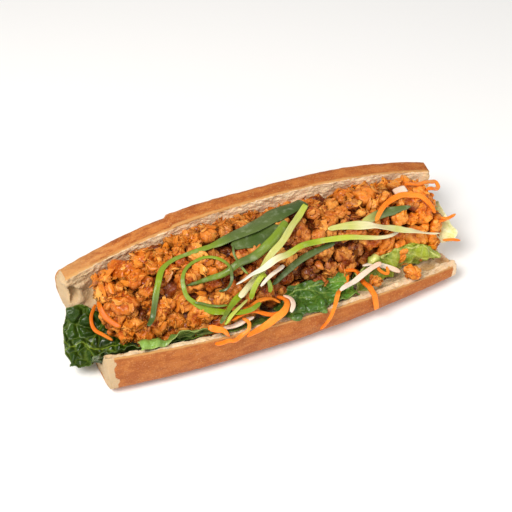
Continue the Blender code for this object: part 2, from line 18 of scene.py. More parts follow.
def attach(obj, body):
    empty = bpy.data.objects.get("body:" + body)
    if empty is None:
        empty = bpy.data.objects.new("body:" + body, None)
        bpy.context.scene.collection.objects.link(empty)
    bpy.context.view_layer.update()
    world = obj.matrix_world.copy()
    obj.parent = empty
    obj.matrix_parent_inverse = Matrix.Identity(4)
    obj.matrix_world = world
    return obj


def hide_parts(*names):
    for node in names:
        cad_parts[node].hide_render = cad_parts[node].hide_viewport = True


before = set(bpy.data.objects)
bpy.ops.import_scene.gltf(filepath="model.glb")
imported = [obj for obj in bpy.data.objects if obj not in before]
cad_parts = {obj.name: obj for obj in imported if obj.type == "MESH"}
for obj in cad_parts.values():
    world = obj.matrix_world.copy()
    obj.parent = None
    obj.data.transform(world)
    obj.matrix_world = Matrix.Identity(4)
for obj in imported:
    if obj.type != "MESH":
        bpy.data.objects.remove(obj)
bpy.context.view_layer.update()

MM = 0.001
TINY = 1e-9

# The loaf's and the heap's shape, as in the part's source
LOAF_LENGTH = 252.0
NEAR_RIM_Y = -40.4
NEAR_RIM_Z = 25.7
NEAR_RIM_FALL = 9.6
FAR_SIDE_Y = 55.6
FAR_SIDE_Z = 60.2
FAR_CUT_Y = 37.4
FAR_CUT_Z = 60.8
NEAR_TAPER = 0.18
FAR_TAPER = 0.15
HEIGHT_TAPER = 0.27
TAPER_POWER = 2.2
CRUMB_LIP = 5.0
FLOOR_Z = 9.0
END_SWELL = 4.5
HEAP_FROM_X = -117.0
HEAP_TO_X = 123.5
HEAP_MIDDLE_X = 3.0
HEAP_CREST_Z = 58.5
HEAP_FAR_GAP = 1.2


# ---- noise

def hashed(cell, seed):
    """Repeatable numbers from 0 to 1 for whole-number cells."""
    x, y, z = np.moveaxis(cell.astype(np.int64), -1, 0)
    number = x * 73856093 ^ y * 19349663 ^ z * 83492791 ^ (seed * 7919 + 17)
    number = (number ^ (number >> 13)) * 1274126177 & 0xFFFFFFFF
    number = (number ^ (number >> 16)) * 668265263 & 0xFFFFFFFF
    return ((number ^ (number >> 15)) & 0xFFFFFF) / 0x1000000


def smooth_noise(points, seed=0):
    """Values from -1 to 1 that change smoothly over one unit."""
    base = np.floor(points)
    part = points - base
    part = part * part * (3 - 2 * part)
    total = 0
    for corner in product((0, 1), repeat=3):
        weight = np.prod(np.where(corner, part, 1 - part), axis=-1)
        total = total + weight * hashed(base + corner, seed)
    return 2 * total - 1


def fractal(points, size, octaves=3, seed=0):
    """Noise with features of this size and finer ones on them."""
    points = np.asarray(points, float) / size
    total, strength = 0, 1.0
    for octave in range(octaves):
        total = total + strength * smooth_noise(points, seed + octave)
        points, strength = points * 2.03 + 11.7, strength * 0.5
    return total


def line_noise(along, seed):
    """smooth_noise over a single measure."""
    return smooth_noise(np.stack([along, along * 0, along * 0], axis=-1), seed)


def cells(points, size, seed=0):
    """Distances to the nearest and the second nearest of scattered centres, in cell sizes, and a number from
    0 to 1 that belongs to the nearest."""
    points = np.asarray(points, float) / size
    base = np.floor(points)
    first = np.full(points.shape[:-1], 9.0)
    second = first.copy()
    number = first.copy()
    for step in product((-1, 0, 1), repeat=3):
        cell = base + step
        centre = cell + np.stack([hashed(cell, seed + k) for k in (1, 2, 3)], axis=-1)
        distance = np.linalg.norm(points - centre, axis=-1)
        closer = distance < first
        second = np.where(closer, first, np.minimum(second, distance))
        number = np.where(closer, hashed(cell, seed + 4), number)
        first = np.where(closer, distance, first)
    return first, second, number


def ease(value, low, high):
    """0 below low, 1 above high, and a smooth step between."""
    t = np.clip((value - low) / (high - low), 0, 1)
    return t * t * (3 - 2 * t)


# ---- curves

def even(count):
    """So many shares from 0 to 1, evenly spread."""
    return np.linspace(0, 1, count)


def unit(vectors):
    return vectors / np.maximum(np.linalg.norm(vectors, axis=-1, keepdims=True), TINY)


def rows_at(places, known, rows):
    """Rows of numbers that are known at some places, read at others between them."""
    return np.stack([np.interp(places, known, column) for column in np.transpose(rows)], axis=-1)


def run_of(points):
    """The distance run along a line of points, at each of them."""
    steps = np.linalg.norm(np.diff(points, axis=0), axis=1)
    return np.concatenate([[0], np.cumsum(steps)])


def smooth_curve(points, count_or_shares):
    """A smooth curve through these points, as so many points spread evenly, or at shares of its length."""
    shares = even(count_or_shares) if isinstance(count_or_shares, int) else count_or_shares
    points = np.array(points, float)
    along = run_of(points)
    slopes = np.gradient(points, along, axis=0)
    fine = np.linspace(0, along[-1], 12 * len(points))
    i = np.clip(np.searchsorted(along, fine, side="right") - 1, 0, len(along) - 2)
    span = (along[i + 1] - along[i])[:, None]
    t = (fine - along[i])[:, None] / span
    curve = (2 * t**3 - 3 * t**2 + 1) * points[i] + (t**3 - 2 * t**2 + t) * span * slopes[i]
    curve += (3 * t**2 - 2 * t**3) * points[i + 1] + (t**3 - t**2) * span * slopes[i + 1]
    run = run_of(curve)
    return rows_at(shares * run[-1], run, curve)


# ---- meshes and pieces

def add_piece(name, points, faces, material, node_names, slot, colours=None, values=None):
    """A smooth piece from points in millimetres that stands for these CAD nodes."""
    mesh = bpy.data.meshes.new(name)
    mesh.from_pydata((np.asarray(points) * MM).tolist(), [], np.asarray(faces).tolist())
    mesh.shade_smooth()
    mesh.materials.append(material)
    if colours is not None:
        made = mesh.attributes.new("tint", "FLOAT_COLOR", "POINT")
        made.data.foreach_set("color", np.insert(colours, 3, 1, axis=1).ravel())
    for key, numbers in (values or {}).items():
        numbers = np.asarray(numbers, np.float32)
        kind, field = ("FLOAT", "value") if numbers.ndim == 1 else ("FLOAT_VECTOR", "vector")
        mesh.attributes.new(key, kind, "POINT").data.foreach_set(field, numbers.ravel())
    piece = bpy.data.objects.new(name, mesh)
    bpy.context.scene.collection.objects.link(piece)
    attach(piece, "root")
    if node_names:
        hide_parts(*node_names)
    return piece


def grid_faces(index, flip=False):
    """Quads over a grid of vertex numbers."""
    quads = np.stack([index[:-1, :-1], index[1:, :-1], index[1:, 1:], index[:-1, 1:]], axis=-1).reshape(-1, 4)
    return quads[:, ::-1] if flip else quads


def tube_faces(stations, around):
    """Numbers of the points of rings in a row, and quads from each ring to the next."""
    index = np.arange(stations * around).reshape(stations, around)
    return index, grid_faces(np.concatenate([index, index[:, :1]], axis=1))


def copied_faces(faces, count, size):
    """The faces of many copies of a template that has size points."""
    return (faces + (np.arange(count) * size)[:, None, None]).reshape(-1, faces.shape[1])


def block_skin(shape):
    """Numbers of a block's surface points, and quads over them."""
    number = np.full(shape, -1)
    shell = np.zeros(shape, bool)
    for axis, end in product(range(3), (0, -1)):
        shell[(slice(None),) * axis + (end,)] = True
    number[shell] = np.arange(shell.sum())
    faces = [
        grid_faces(number[:, :, 0], True), grid_faces(number[:, :, -1]),
        grid_faces(number[:, 0]), grid_faces(number[:, -1], True),
        grid_faces(number[0], True), grid_faces(number[-1]),
    ]
    return shell, np.concatenate(faces)


def grid_normals(grid):
    """Normals at the points of a grid."""
    return unit(np.cross(np.gradient(grid, axis=0), np.gradient(grid, axis=1)))


def mesh_normals(points, faces):
    """Vertex normals of a mesh of triangles or of quads."""
    corners = points[faces]
    across = np.cross(corners[:, 2] - corners[:, 0], corners[:, -1] - corners[:, 1])
    normals = np.zeros_like(points)
    for k in range(faces.shape[1]):
        np.add.at(normals, faces[:, k], across)
    return unit(normals)


def facing(points, faces, outwards):
    """The faces, turned over if their normals point against outwards."""
    turned = np.sum(mesh_normals(points, faces) * outwards) < 0
    return faces[:, ::-1] if turned else faces


def close_ends(piece, index):
    """Caps on the first and the last ring."""
    shape = bmesh.new()
    shape.from_mesh(piece.data)
    shape.verts.ensure_lookup_table()
    for ring in (index[0], index[-1]):
        shape.faces.new([shape.verts[i] for i in ring])
    bmesh.ops.recalc_face_normals(shape, faces=shape.faces)
    bmesh.ops.triangulate(shape, faces=[face for face in shape.faces if len(face.verts) > 4])
    shape.to_mesh(piece.data)
    shape.free()


def drop_on(name, places):
    """Points, in metres, and normals of a CAD solid straight under places in plan, or None twice."""
    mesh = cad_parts[name].data
    tree = BVHTree.FromPolygons([vertex.co for vertex in mesh.vertices],
                                [tuple(face.vertices) for face in mesh.polygons])
    return [tree.ray_cast(Vector((x * MM, y * MM, 0.3)), Vector((0, 0, -1)))[:2] for x, y in places]


# ---- materials

class Looks:
    """A Principled material and the nodes that feed it. Sizes are in millimetres, and so is radius, how far
    light travels inside. An input's value is a number, a colour or another node's output."""

    def __init__(self, name, roughness, subsurface=0.0, radius=(1, 1, 1), specular=0.5):
        self.material = bpy.data.materials.new(name)
        self.material.use_nodes = True
        self.tree = self.material.node_tree
        self.shader = self.tree.nodes["Principled BSDF"]
        uniform = {
            "Roughness": roughness, "Specular IOR Level": specular,
            "Subsurface Weight": subsurface, "Subsurface Radius": radius, "Subsurface Scale": MM,
        }
        for key, value in uniform.items():
            self.shader.inputs[key].default_value = value

    def feed(self, socket, value):
        if isinstance(value, bpy.types.NodeSocket):
            self.tree.links.new(value, socket)
        elif value is not None:
            socket.default_value = (*value, 1) if socket.type == "RGBA" else value

    def node(self, kind, settings=None, **inputs):
        made = self.tree.nodes.new(kind)
        for name, value in (settings or {}).items():
            setattr(made, name, value)
        for name, value in inputs.items():
            self.feed(made.inputs[name.replace("_", " ")], value)
        return made

    def mix(self, factor, first, second, blend="MIX"):
        made = self.node("ShaderNodeMix", {"data_type": "RGBA", "blend_type": blend})
        for number, value in ((0, factor), (6, first), (7, second)):
            self.feed(made.inputs[number], value)
        return made.outputs[2]

    def layers(self, colour, *steps):
        """A colour with others laid over it, each by its own share."""
        for share, over in steps:
            colour = self.mix(share, colour, over)
        return colour

    def maths(self, operation, first, second):
        made = self.node("ShaderNodeMath", {"operation": operation})
        self.feed(made.inputs[0], first)
        self.feed(made.inputs[1], second)
        return made.outputs[0]

    def between(self, value, low, high, to_low=0.0, to_high=1.0):
        """value taken from low..high to to_low..to_high, smoothly and without overshoot."""
        ends = {"From_Min": low, "From_Max": high, "To_Min": to_low, "To_Max": to_high}
        made = self.node("ShaderNodeMapRange", {"interpolation_type": "SMOOTHSTEP"}, Value=value, **ends)
        return made.outputs[0]

    def place(self, stretch=(1, 1, 1)):
        """The piece's own coordinates in millimetres, stretched."""
        own = self.node("ShaderNodeTexCoord").outputs["Object"]
        return self.node("ShaderNodeMapping", Vector=own, Scale=[value / MM for value in stretch]).outputs[0]

    def noise(self, where, size, detail=3.0, roughness=0.55):
        settings = {"Scale": 1 / size, "Detail": detail, "Roughness": roughness}
        return self.node("ShaderNodeTexNoise", Vector=where, **settings).outputs[0]

    def attribute(self, name, kind="Fac"):
        return self.node("ShaderNodeAttribute", {"attribute_name": name}).outputs[kind]

    def along_strip(self, stretch):
        """A strip's own coordinates: along it, stretched, and across it."""
        run = self.maths("MULTIPLY", self.attribute("run"), stretch)
        return self.node("ShaderNodeCombineXYZ", X=run, Y=self.attribute("cross")).outputs[0]

    def finish(self, colour, height, depth, strength, roughness=None):
        """Ends the material: its colour, a bump whose height runs over this depth, and its roughness."""
        bump = self.node("ShaderNodeBump", Height=height, Strength=strength, Distance=depth * MM).outputs[0]
        for key, value in (("Base Color", colour), ("Normal", bump), ("Roughness", roughness)):
            self.feed(self.shader.inputs[key], value)
        return self.material


# ---- loaf

LOAF_STATIONS = 260
LOAF_AROUND = 116
LOAF_THROUGH = 12
STEP_X = -57.0                # where the high crust's flap starts
STEP_HIGH = 1.5
FLAP_LONG = 70.0

# Torn places in the crumb: centre, reach along the loaf and upwards, and depth (less than 0 stands out)
TORN = [
    (-128, 30, 31, 5, 9, 4.5), (-131, 36, 40, 5, 3.5, -2.4), (-122, 30, 36, 6, 3.5, -1.8),
    (-118, 27, 27, 5, 8, 1.2), (104, -23, 13, 8, 6, 2.2), (117, -22, 12, 8, 5, 2.2), (88, -30, 15, 9, 4, -1),
]
TORN_ACROSS = 8.0


def outer_section(u):
    """The crust's outline at u, from -1 at the left end to 1 at the right: low edge, bottom, high edge."""
    taper = abs(u) ** TAPER_POWER
    near = 1 - NEAR_TAPER * taper
    far = 1 - FAR_TAPER * taper
    tall = 1 - HEIGHT_TAPER * taper
    rim = NEAR_RIM_Z - NEAR_RIM_FALL * u
    low_side = [
        (NEAR_RIM_Y, rim),
        (NEAR_RIM_Y - 1.9, 0.6 * rim),
        (NEAR_RIM_Y + 1, 5),
        (NEAR_RIM_Y + 12, 0),
        (0, 0),
    ]
    high_side = [
        (18, 0),
        (FAR_SIDE_Y - 14, 7),
        (FAR_SIDE_Y - 2, 24),
        (FAR_SIDE_Y, 0.72 * FAR_SIDE_Z),
        (FAR_SIDE_Y - 5, 0.97 * FAR_SIDE_Z),
        (FAR_CUT_Y, FAR_CUT_Z),
    ]
    return np.array([(y * near, z) for y, z in low_side] + [(y * far, z * tall) for y, z in high_side])


def inner_section(u):
    """The crumb's outline at u, from the low wall's lip over the floor to the edge under the high crust."""
    outer = outer_section(u)
    lip_y, lip_z = outer[0]
    top_y, top_z = outer[-1]
    return np.array([
        (lip_y + CRUMB_LIP, lip_z - 0.6),
        (lip_y + CRUMB_LIP + 4, 0.62 * lip_z + 0.38 * FLOOR_Z),
        (-14, FLOOR_Z + 1.5),
        (2, FLOOR_Z),
        (17, FLOOR_Z + 3),
        (0.8 * top_y, 0.45 * top_z),
        (0.93 * top_y, 0.72 * top_z),
        (top_y - 1.8, 0.86 * top_z),
        (top_y - 1.2, top_z - 0.8),
    ])


def station(x):
    """u at this x of the loaf's middle line."""
    return np.clip(2 * x / LOAF_LENGTH, -1, 1)


def loaf_x(u, y, z):
    """The loaf's ends are cut a little askew and swell, so a station's x depends on y and z."""
    t = (u + 1) / 2
    swell = END_SWELL * ease(y, 15, 45) * np.sin(math.pi * np.clip(z / 46, 0, 1))
    left = -1.2 - 0.077 * y - swell * ease(-u, 0.8, 1)
    right = 0.6 + 0.183 * y
    return u * LOAF_LENGTH / 2 + left * (1 - t) + right * t


def bend(u):
    """How far the loaf's middle bows towards its low side at u."""
    return -1.4 * (1 - u * u)


def section_points(u, section):
    """A section's outline, in y and z, at its place along the loaf."""
    y, z = section.T
    return np.stack([loaf_x(u, y, z), y + bend(u), z], axis=1)


def loaf_block():
    """The bread as a block of points: along the loaf, round its section, and through from crust to crumb."""
    share = even(LOAF_AROUND)
    share = share - 0.13 * np.sin(2 * math.pi * share)      # closer together near both cut edges
    through = even(LOAF_THROUGH)[:, None]
    block = []
    for u in np.linspace(-1, 1, LOAF_STATIONS):
        outer = section_points(u, np.maximum(smooth_curve(outer_section(u), share), (-999, 0)))
        inner = section_points(u, smooth_curve(inner_section(u), share))
        block.append(outer[:, None] * (1 - through) + inner[:, None] * through)
    return np.array(block)


def crust_relief(points):
    """Long soft waves, small dents, and a flap that starts in a step and thins out to the right."""
    x, y, z = points.T
    waves = 0.5 * fractal(points * (0.5, 1, 1), 17, 3, 5) + 0.2 * fractal(points, 4.5, 2, 9)
    high = ease(y, 25, 36) * ease(z, 36, 46)
    step, thinned = ease(x, STEP_X - 0.5, STEP_X + 0.8), 1 - ease(x, STEP_X, STEP_X + FLAP_LONG)
    return waves * ease(z, 0.0, 5.0) + STEP_HIGH * high * step * thinned


def crumb_relief(points, inside):
    """Lumps, holes and torn places, flattened under the lettuce, and how torn each point is."""
    relief = 0.7 * fractal(points, 8, 3, 21) + 0.55 * fractal(points, 2.2, 2, 51)
    wide = cells(points * (0.8, 1, 1), 5.0, 31)[0]
    fine = cells(points, 2.1, 41)[0]
    relief -= 1.1 * ease(0.42 - wide, 0, 0.35) + 0.55 * ease(0.45 - fine, 0, 0.35)
    torn = np.zeros(len(points))
    for x, y, z, reach_x, reach_z, depth in TORN:
        distance = np.sqrt(np.sum(((points - (x, y, z)) / (reach_x, TORN_ACROSS, reach_z)) ** 2, axis=1))
        share = 1 - ease(distance, 0.3, 1)
        relief = relief - depth * share
        torn = torn + share * np.sign(depth)
    under_leaf = ease(-points[:, 0], 55, 75) * (1 - ease(points[:, 1], 12, 20)) * (inside > 3)
    return relief - under_leaf * (np.maximum(relief, 0) + 0.3), torn


def hollowed_end(points):
    """How far the crumb at the right end lies back, rough from being torn."""
    hollow = ease(points[:, 0], 108, 124) * np.exp(-((points[:, 1] + 4) / 17) ** 4)
    return (5.5 + 1.5 * fractal(points, 6, 2, 71) + 1.0 * fractal(points, 2.6, 2, 72)) * hollow


def bare_ends(points):
    """Where the crust is torn off, next to the low wall's two ends."""
    to_end = np.minimum(points[:, 0] + 124.3, 121.8 - points[:, 0]) + 2.2 * fractal(points, 5, 2, 61)
    return (1 - ease(to_end, 3.4, 4.6)) * ease(-points[:, 1], 18, 28) * ease(points[:, 2], 1, 5)


def add_bread():
    block = loaf_block()
    shell, faces = block_skin(block.shape[:3])
    points = block[shell]
    normals = mesh_normals(points, faces)
    crust = np.indices(block.shape[:3])[2][shell] == 0
    from_edges = [np.linalg.norm(block - edge, axis=3) for edge in (block[:, :1], block[:, -1:])]
    edge = np.minimum(*from_edges)[shell]
    inside = np.linalg.norm(block - block[:, :, :1], axis=3)[shell]
    crumb, torn = crumb_relief(points, inside)
    push = crust_relief(points)
    rough = ease(inside, 0.2, 1.6)
    push = np.where(crust, push, push * (1 - rough) + crumb * rough)
    points = points + normals * push[:, None]
    points[:, 2] = np.maximum(points[:, 2], 0)
    points[:, 0] -= hollowed_end(points)
    values = {
        "inside": inside + 3 * bare_ends(points),
        "pit": np.clip(-crumb, 0, 3) / 3,
        "edge": np.where(crust, edge, 0),
        "torn": torn,
    }
    add_piece("loaf", points, faces, bread_material(), ["bread"], "bread", values=values)


def bread_material():
    """Golden crust with flour specks, a painted sheen at its high left and painted shade on the low wall, and
    cream crumb with painted shade in its holes and a painted highlight where torn crumb stands out.
    """
    looks = Looks("bread", 0.7, 0.12, (2.0, 1.0, 0.5), 0.35)
    between, maths, noise = looks.between, looks.maths, looks.noise
    own = looks.place()
    x, y, _ = looks.node("ShaderNodeSeparateXYZ", Vector=own).outputs
    inside, pit, edge, torn = (looks.attribute(name) for name in ("inside", "pit", "edge", "torn"))
    mottle = noise(looks.place((0.45, 1, 1)), 5.5, 4, 0.65)
    grain = noise(own, 1.1, 3, 0.65)
    to_right = maths("MULTIPLY", between(maths("ADD", x, y), -60, 90), 0.4)
    # a painted sheen: the high crust is paler towards its left
    painted_sheen_left = between(maths("ADD", x, maths("MULTIPLY", mottle, 60)), -98, -58, 0.75, 0)
    golden = looks.layers(
        (0.58, 0.190, 0.034),
        (between(mottle, 0.38, 0.62), (0.34, 0.076, 0.008)),
        (to_right, (0.42, 0.105, 0.013)),
        (maths("MULTIPLY", painted_sheen_left, between(y, -15, 10)), (0.60, 0.30, 0.10)),
        # painted shade: the low wall's outside is darker
        (between(y, -18, -32, 0, 0.5), (0.38, 0.100, 0.014)),
        (between(grain, 0.5, 0.7, 0, 0.6), (0.62, 0.26, 0.06)),
        (between(grain, 0.28, 0.42, 0.5, 0), (0.27, 0.065, 0.01)),
        (between(noise(own, 0.8, 2), 0.64, 0.72, 0, 0.5), (0.74, 0.50, 0.26)),
        (between(edge, 0.2, 1.6, 0.7, 0), (0.62, 0.34, 0.11)),
    )
    cream = looks.layers(
        (0.80, 0.59, 0.37),
        # painted shade in the crumb's pits
        (between(pit, 0.12, 0.9), (0.55, 0.32, 0.14)),
        (between(noise(own, 6, 3), 0.35, 0.7, 0, 0.35), (0.70, 0.50, 0.30)),
        (between(noise(own, 1.8, 4), 0.45, 0.7, 0, 0.45), (0.90, 0.74, 0.53)),
        # painted shade in torn hollows, and a painted highlight on torn crumb that stands out
        (between(torn, 0.1, 0.9, 0, 0.8), (0.56, 0.34, 0.14)),
        (between(torn, -0.1, -0.9, 0, 0.7), (0.86, 0.71, 0.52)),
        (between(x, -120, -106, 0.8, 0), (0.56, 0.39, 0.21)),
        (between(x, 124, 132, 0, 0.55), (0.70, 0.42, 0.16)),
    )
    ragged = maths("SUBTRACT", noise(own, 3.6, 5, 0.65), 0.5)
    depth = maths("ADD", inside, maths("MULTIPLY", ragged, 3.0))
    sponge = looks.node("ShaderNodeTexVoronoi", Vector=own, Scale=1 / 1.15).outputs["Distance"]
    # painted shade in the crumb's pores
    pores = maths("MULTIPLY", between(depth, 1, 2), between(sponge, 0.1, 0.45, 0.45, 0))
    colour = looks.layers(golden, (between(depth, 0.4, 1.6), cream), (pores, (0.54, 0.33, 0.15)))
    height = looks.mix(between(inside, 0.4, 1.4), grain, sponge)
    height = maths("ADD", height, maths("MULTIPLY", noise(own, 0.5, 2), 0.6))
    return looks.finish(colour, height, 0.45, 0.6)


# ---- cod

HEAP_STATIONS = 200
HEAP_OVER = 90                # points over the heap's top at each station
HEAP_UNDER = 8
CORE_DEPTH = 4.2              # how far the core lies under the heap's outline
FLOAT_UP = 0.5                # how far a clump's middle would lie above its seat if it had no size
CLUMP_SINK = 0.30             # the share of its radius that it lies lower than that
CLUMPS_FROM_Z = 17.0          # no clumps lower down, where the bread and the lettuce hide the heap
# painted shade: the core is darkened to stand for the shade in the gaps between the clumps
CORE_SHADE = (0.34, 0.20, 0.22)
# painted shade on what lies low or in a hollow
SUNK_SHADE = (0.76, 0.88, 0.76)
# the cod's pale colour: a painted highlight on clump tops and flake tips, and the own colour of the pale
# slices
PALE_COD = (0.88, 0.395, 0.075)
ORANGE_COD = np.array([0.61, 0.168, 0.006])
BROWN_COD = np.array([0.36, 0.094, 0.017])
VIVID_COD = np.array([0.86, 0.290, 0.010])

# Clumps that stand out: place in plan, size, and how frilly
CLUMPS = [
    (-96, 17, 19, 0.3), (-103, -3, 17, 0.9), (-101, -12, 11, 0.8), (-82, -13, 15, 1.0), (-87, -18, 11, 1.0),
    (-60, -21, 16, 1.0), (-37, 32, 17, 0.9), (-86, -2, 14, 0.6), (-61, -5, 16, 0.6), (-82, 17, 15, 0.6),
    (-71, 5, 13, 0.8), (-61, 10, 12, 0.5), (-36, -3, 14, 0.5), (-45, -18, 13, 0.7), (-48, 30, 12, 0.6),
    (-109, 9, 11, 0.2), (-107, -7, 11, 0.8), (-20, 33, 12, 0.5), (32, 11.5, 11, 0.1), (42, 4.5, 11, 0.1),
    (72, 16, 17, 0.4), (62, 24, 14, 0.3), (92, 24, 7, 0.3), (19, 1, 14, 0.2), (29, -9, 13, 0.3),
    (44, -13, 13, 0.5), (65, -10, 14, 0.4), (76, -11, 12, 0.2), (108, -3, 17, 0.4), (109, -13, 13, 0.4),
    (89, -3, 13, 0.2), (84, -9, 11, 0.3), (102, 4, 13, 0.4), (52, -12, 12, 0.5), (59, 11, 11, 0.6),
    (115, -8, 11, 0.4), (7, -9, 13, 0.4), (8, 30, 11, 0.2), (22, 30, 12, 0.2), (78, 28, 12, 0.3),
    (-92, 6, 13, 0.7), (-50, 8, 13, 0.4), (33, -15, 11, 0.5), (19, -14, 12, 0.5),
]

# Hollows between the clumps, lowered and darkened with painted shade: x, y and reach
HOLLOWS = [
    (-71, -4, 12), (-66, 24, 10), (-40, 11, 10), (-41, -12, 9), (-30, 9, 8), (-73, -21, 7), (24, 16, 8),
    (48, 22, 8), (57, 7, 7), (70, 2, 7), (36, -8, 8), (15, -12, 8), (56, -13, 8), (-93, -9, 6), (5, 20, 8),
    (90, 12, 7), (-10, -12, 8), (83, 20, 6), (-98, 30, 8), (-52, -14, 7),
]

# Slices that lie bare on the heap: place in plan, length and width
SLICES = [
    (-111, 10, 13, 7), (-104, 17, 12, 6), (-53, -2, 10, 6), (-46, -5, 8, 5), (59, 11, 8, 4), (62, 8, 7, 3.5),
    (-88, 12, 10, 6), (-20, -13, 7, 4), (99, 6, 8, 4), (34, 2, 8, 4.5),
]


def heap_section(x):
    """The heap's top outline at x, from its near foot over the crest to its far foot."""
    near_foot = np.interp(x, [-112, -98, -85, -55, -25, 10, 60, 125], [-9, -15, -20, -26, -21, -13, -15, -16])
    near_z = np.interp(x, [-110, -50, 10, 125], [30, 29, 30, 20])
    far_z = np.interp(x, [-112, -85, -60, 0, 95, 125], [40, 48, 53, 52.5, 48, 40])
    wall = inner_section(station(x))[5:]
    far_foot = np.interp([far_z, far_z - 8], wall[:, 1], wall[:, 0]) - HEAP_FAR_GAP
    crest = HEAP_CREST_Z - 6 * abs(x / 120) ** 2.5
    return np.array([
        (near_foot, near_z - 8),
        (near_foot - 0.5, near_z),
        (0.5 * near_foot - 1, 0.5 * near_z + 0.5 * crest - 1),
        (4, crest - 1.5),
        (14, crest),
        (24, 0.4 * crest + 0.6 * far_z + 2),
        (far_foot[0], far_z),
        (far_foot[1], far_z - 8),
    ])


def heap_under(top):
    """The heap's underside, from its far foot back to its near foot."""
    (near_y, _), (far_y, _) = top[0], top[-1]
    return np.array([(far_y - 3, 24), (18, 15), (0, 13), (near_y + 3, 15)])


def settle(points):
    """Points lowered near the high wall, where the filling lies lower than its packed outline."""
    x, y = points[..., 0], points[..., 1]
    wall = FAR_CUT_Y * (1 - FAR_TAPER * np.abs(x / 126) ** TAPER_POWER) - 4.5
    lowered = points.copy()
    lowered[..., 2] -= (2.4 + 1.0 * ease(x, -45, 10)) * ease(y, wall - 13, wall - 2)
    return lowered


def heap_rings():
    """The heap's outline as rings of points along it, drawn in at both ends."""
    rings = []
    middle = np.array([6.0, 30.0])
    for x in np.linspace(HEAP_FROM_X, HEAP_TO_X, HEAP_STATIONS):
        top = smooth_curve(heap_section(x), HEAP_OVER)
        ring = np.concatenate([top, smooth_curve(heap_under(top), HEAP_UNDER)])
        reach = (2 * x - HEAP_FROM_X - HEAP_TO_X) / (HEAP_TO_X - HEAP_FROM_X)
        shrink = max(1 - abs(reach) ** 14, 0) ** 0.35 * 0.75 + 0.25
        ring = (ring - middle) * shrink + middle
        rings.append(np.stack([np.full(len(ring), x), ring[:, 0] + bend(station(x)), ring[:, 1]], axis=1))
    return settle(np.array(rings))


def tone_at(points):
    """The cod's colour at these points: orange at the left, browner in the middle, vivid at the right end."""
    x = points[..., 0]
    patch = fractal(points, 13, 2, 111) * 0.5 + 0.5
    low = ease(20 - points[..., 1], 0, 22)
    middle = np.exp(-((x - 6) / 50) ** 4) * (0.55 + 0.45 * low) + 0.9 * (patch - 0.5)
    colour = ORANGE_COD + (BROWN_COD - ORANGE_COD) * np.clip(middle, 0, 1)[..., None]
    return colour + (VIVID_COD - colour) * (ease(x, 70, 112) * 0.9)[..., None]


def add_core(rings):
    """The heap's middle, darkened with painted shade, which shows between the clumps. Returns the heap's
    outline and normals.
    """
    index, faces = tube_faces(*rings.shape[:2])
    points = rings.reshape(-1, 3)
    normals = mesh_normals(points, faces)
    normals *= np.sign(np.sum(normals * (points - points.mean(axis=0))))
    push = 1.6 * fractal(points, 6, 3, 61) - CORE_DEPTH
    moved = points + normals * push[:, None]
    colours = tone_at(points) * CORE_SHADE
    piece = add_piece("cod_core", moved, faces, COD, ["salt_cod"], "salt_cod", colours, {"grain": points})
    close_ends(piece, index)
    return points, normals


def frames_on(normals, angles, tilts, random):
    """For each normal: a direction at this angle round it, and the normal tipped by this tilt."""
    helper = np.where(np.abs(normals[:, :1]) < 0.8, (1.0, 0, 0), (0, 1.0, 0))
    first = unit(np.cross(normals, helper))
    second = np.cross(normals, first)
    along = first * np.cos(angles)[:, None] + second * np.sin(angles)[:, None]
    aside = np.cross(normals, along)
    spin = random.uniform(0, 2 * math.pi, len(normals))
    lean = along * np.cos(spin)[:, None] + aside * np.sin(spin)[:, None]
    up = normals * np.cos(tilts)[:, None] + lean * np.sin(tilts)[:, None]
    along = unit(along - up * np.sum(along * up, axis=1)[:, None])
    return along, np.cross(up, along), up


def ball_template(level):
    """A unit ball with more of its points on top: places and triangles."""
    shape = bmesh.new()
    bmesh.ops.create_icosphere(shape, subdivisions=level, radius=1)
    places = unit(np.array([vertex.co for vertex in shape.verts], float))
    faces = np.array([[vertex.index for vertex in face.verts] for face in shape.faces])
    shape.free()
    turn = np.arccos(np.clip(places[:, 2], -1, 1))
    packed = math.pi * (turn / math.pi) ** 1.35
    flat = np.sin(packed) / np.maximum(np.sin(turn), 1e-6)
    return np.stack([places[:, 0] * flat, places[:, 1] * flat, np.cos(packed)], axis=1), faces


def hollow_at(points):
    """How far into a dark hollow these points are, from 0 to 1."""
    deep = 0
    for x, y, reach in HOLLOWS:
        distance = np.hypot(points[..., 0] - x, points[..., 1] - y)
        deep = np.maximum(deep, 1 - ease(distance / reach, 0.35, 1.0))
    return deep


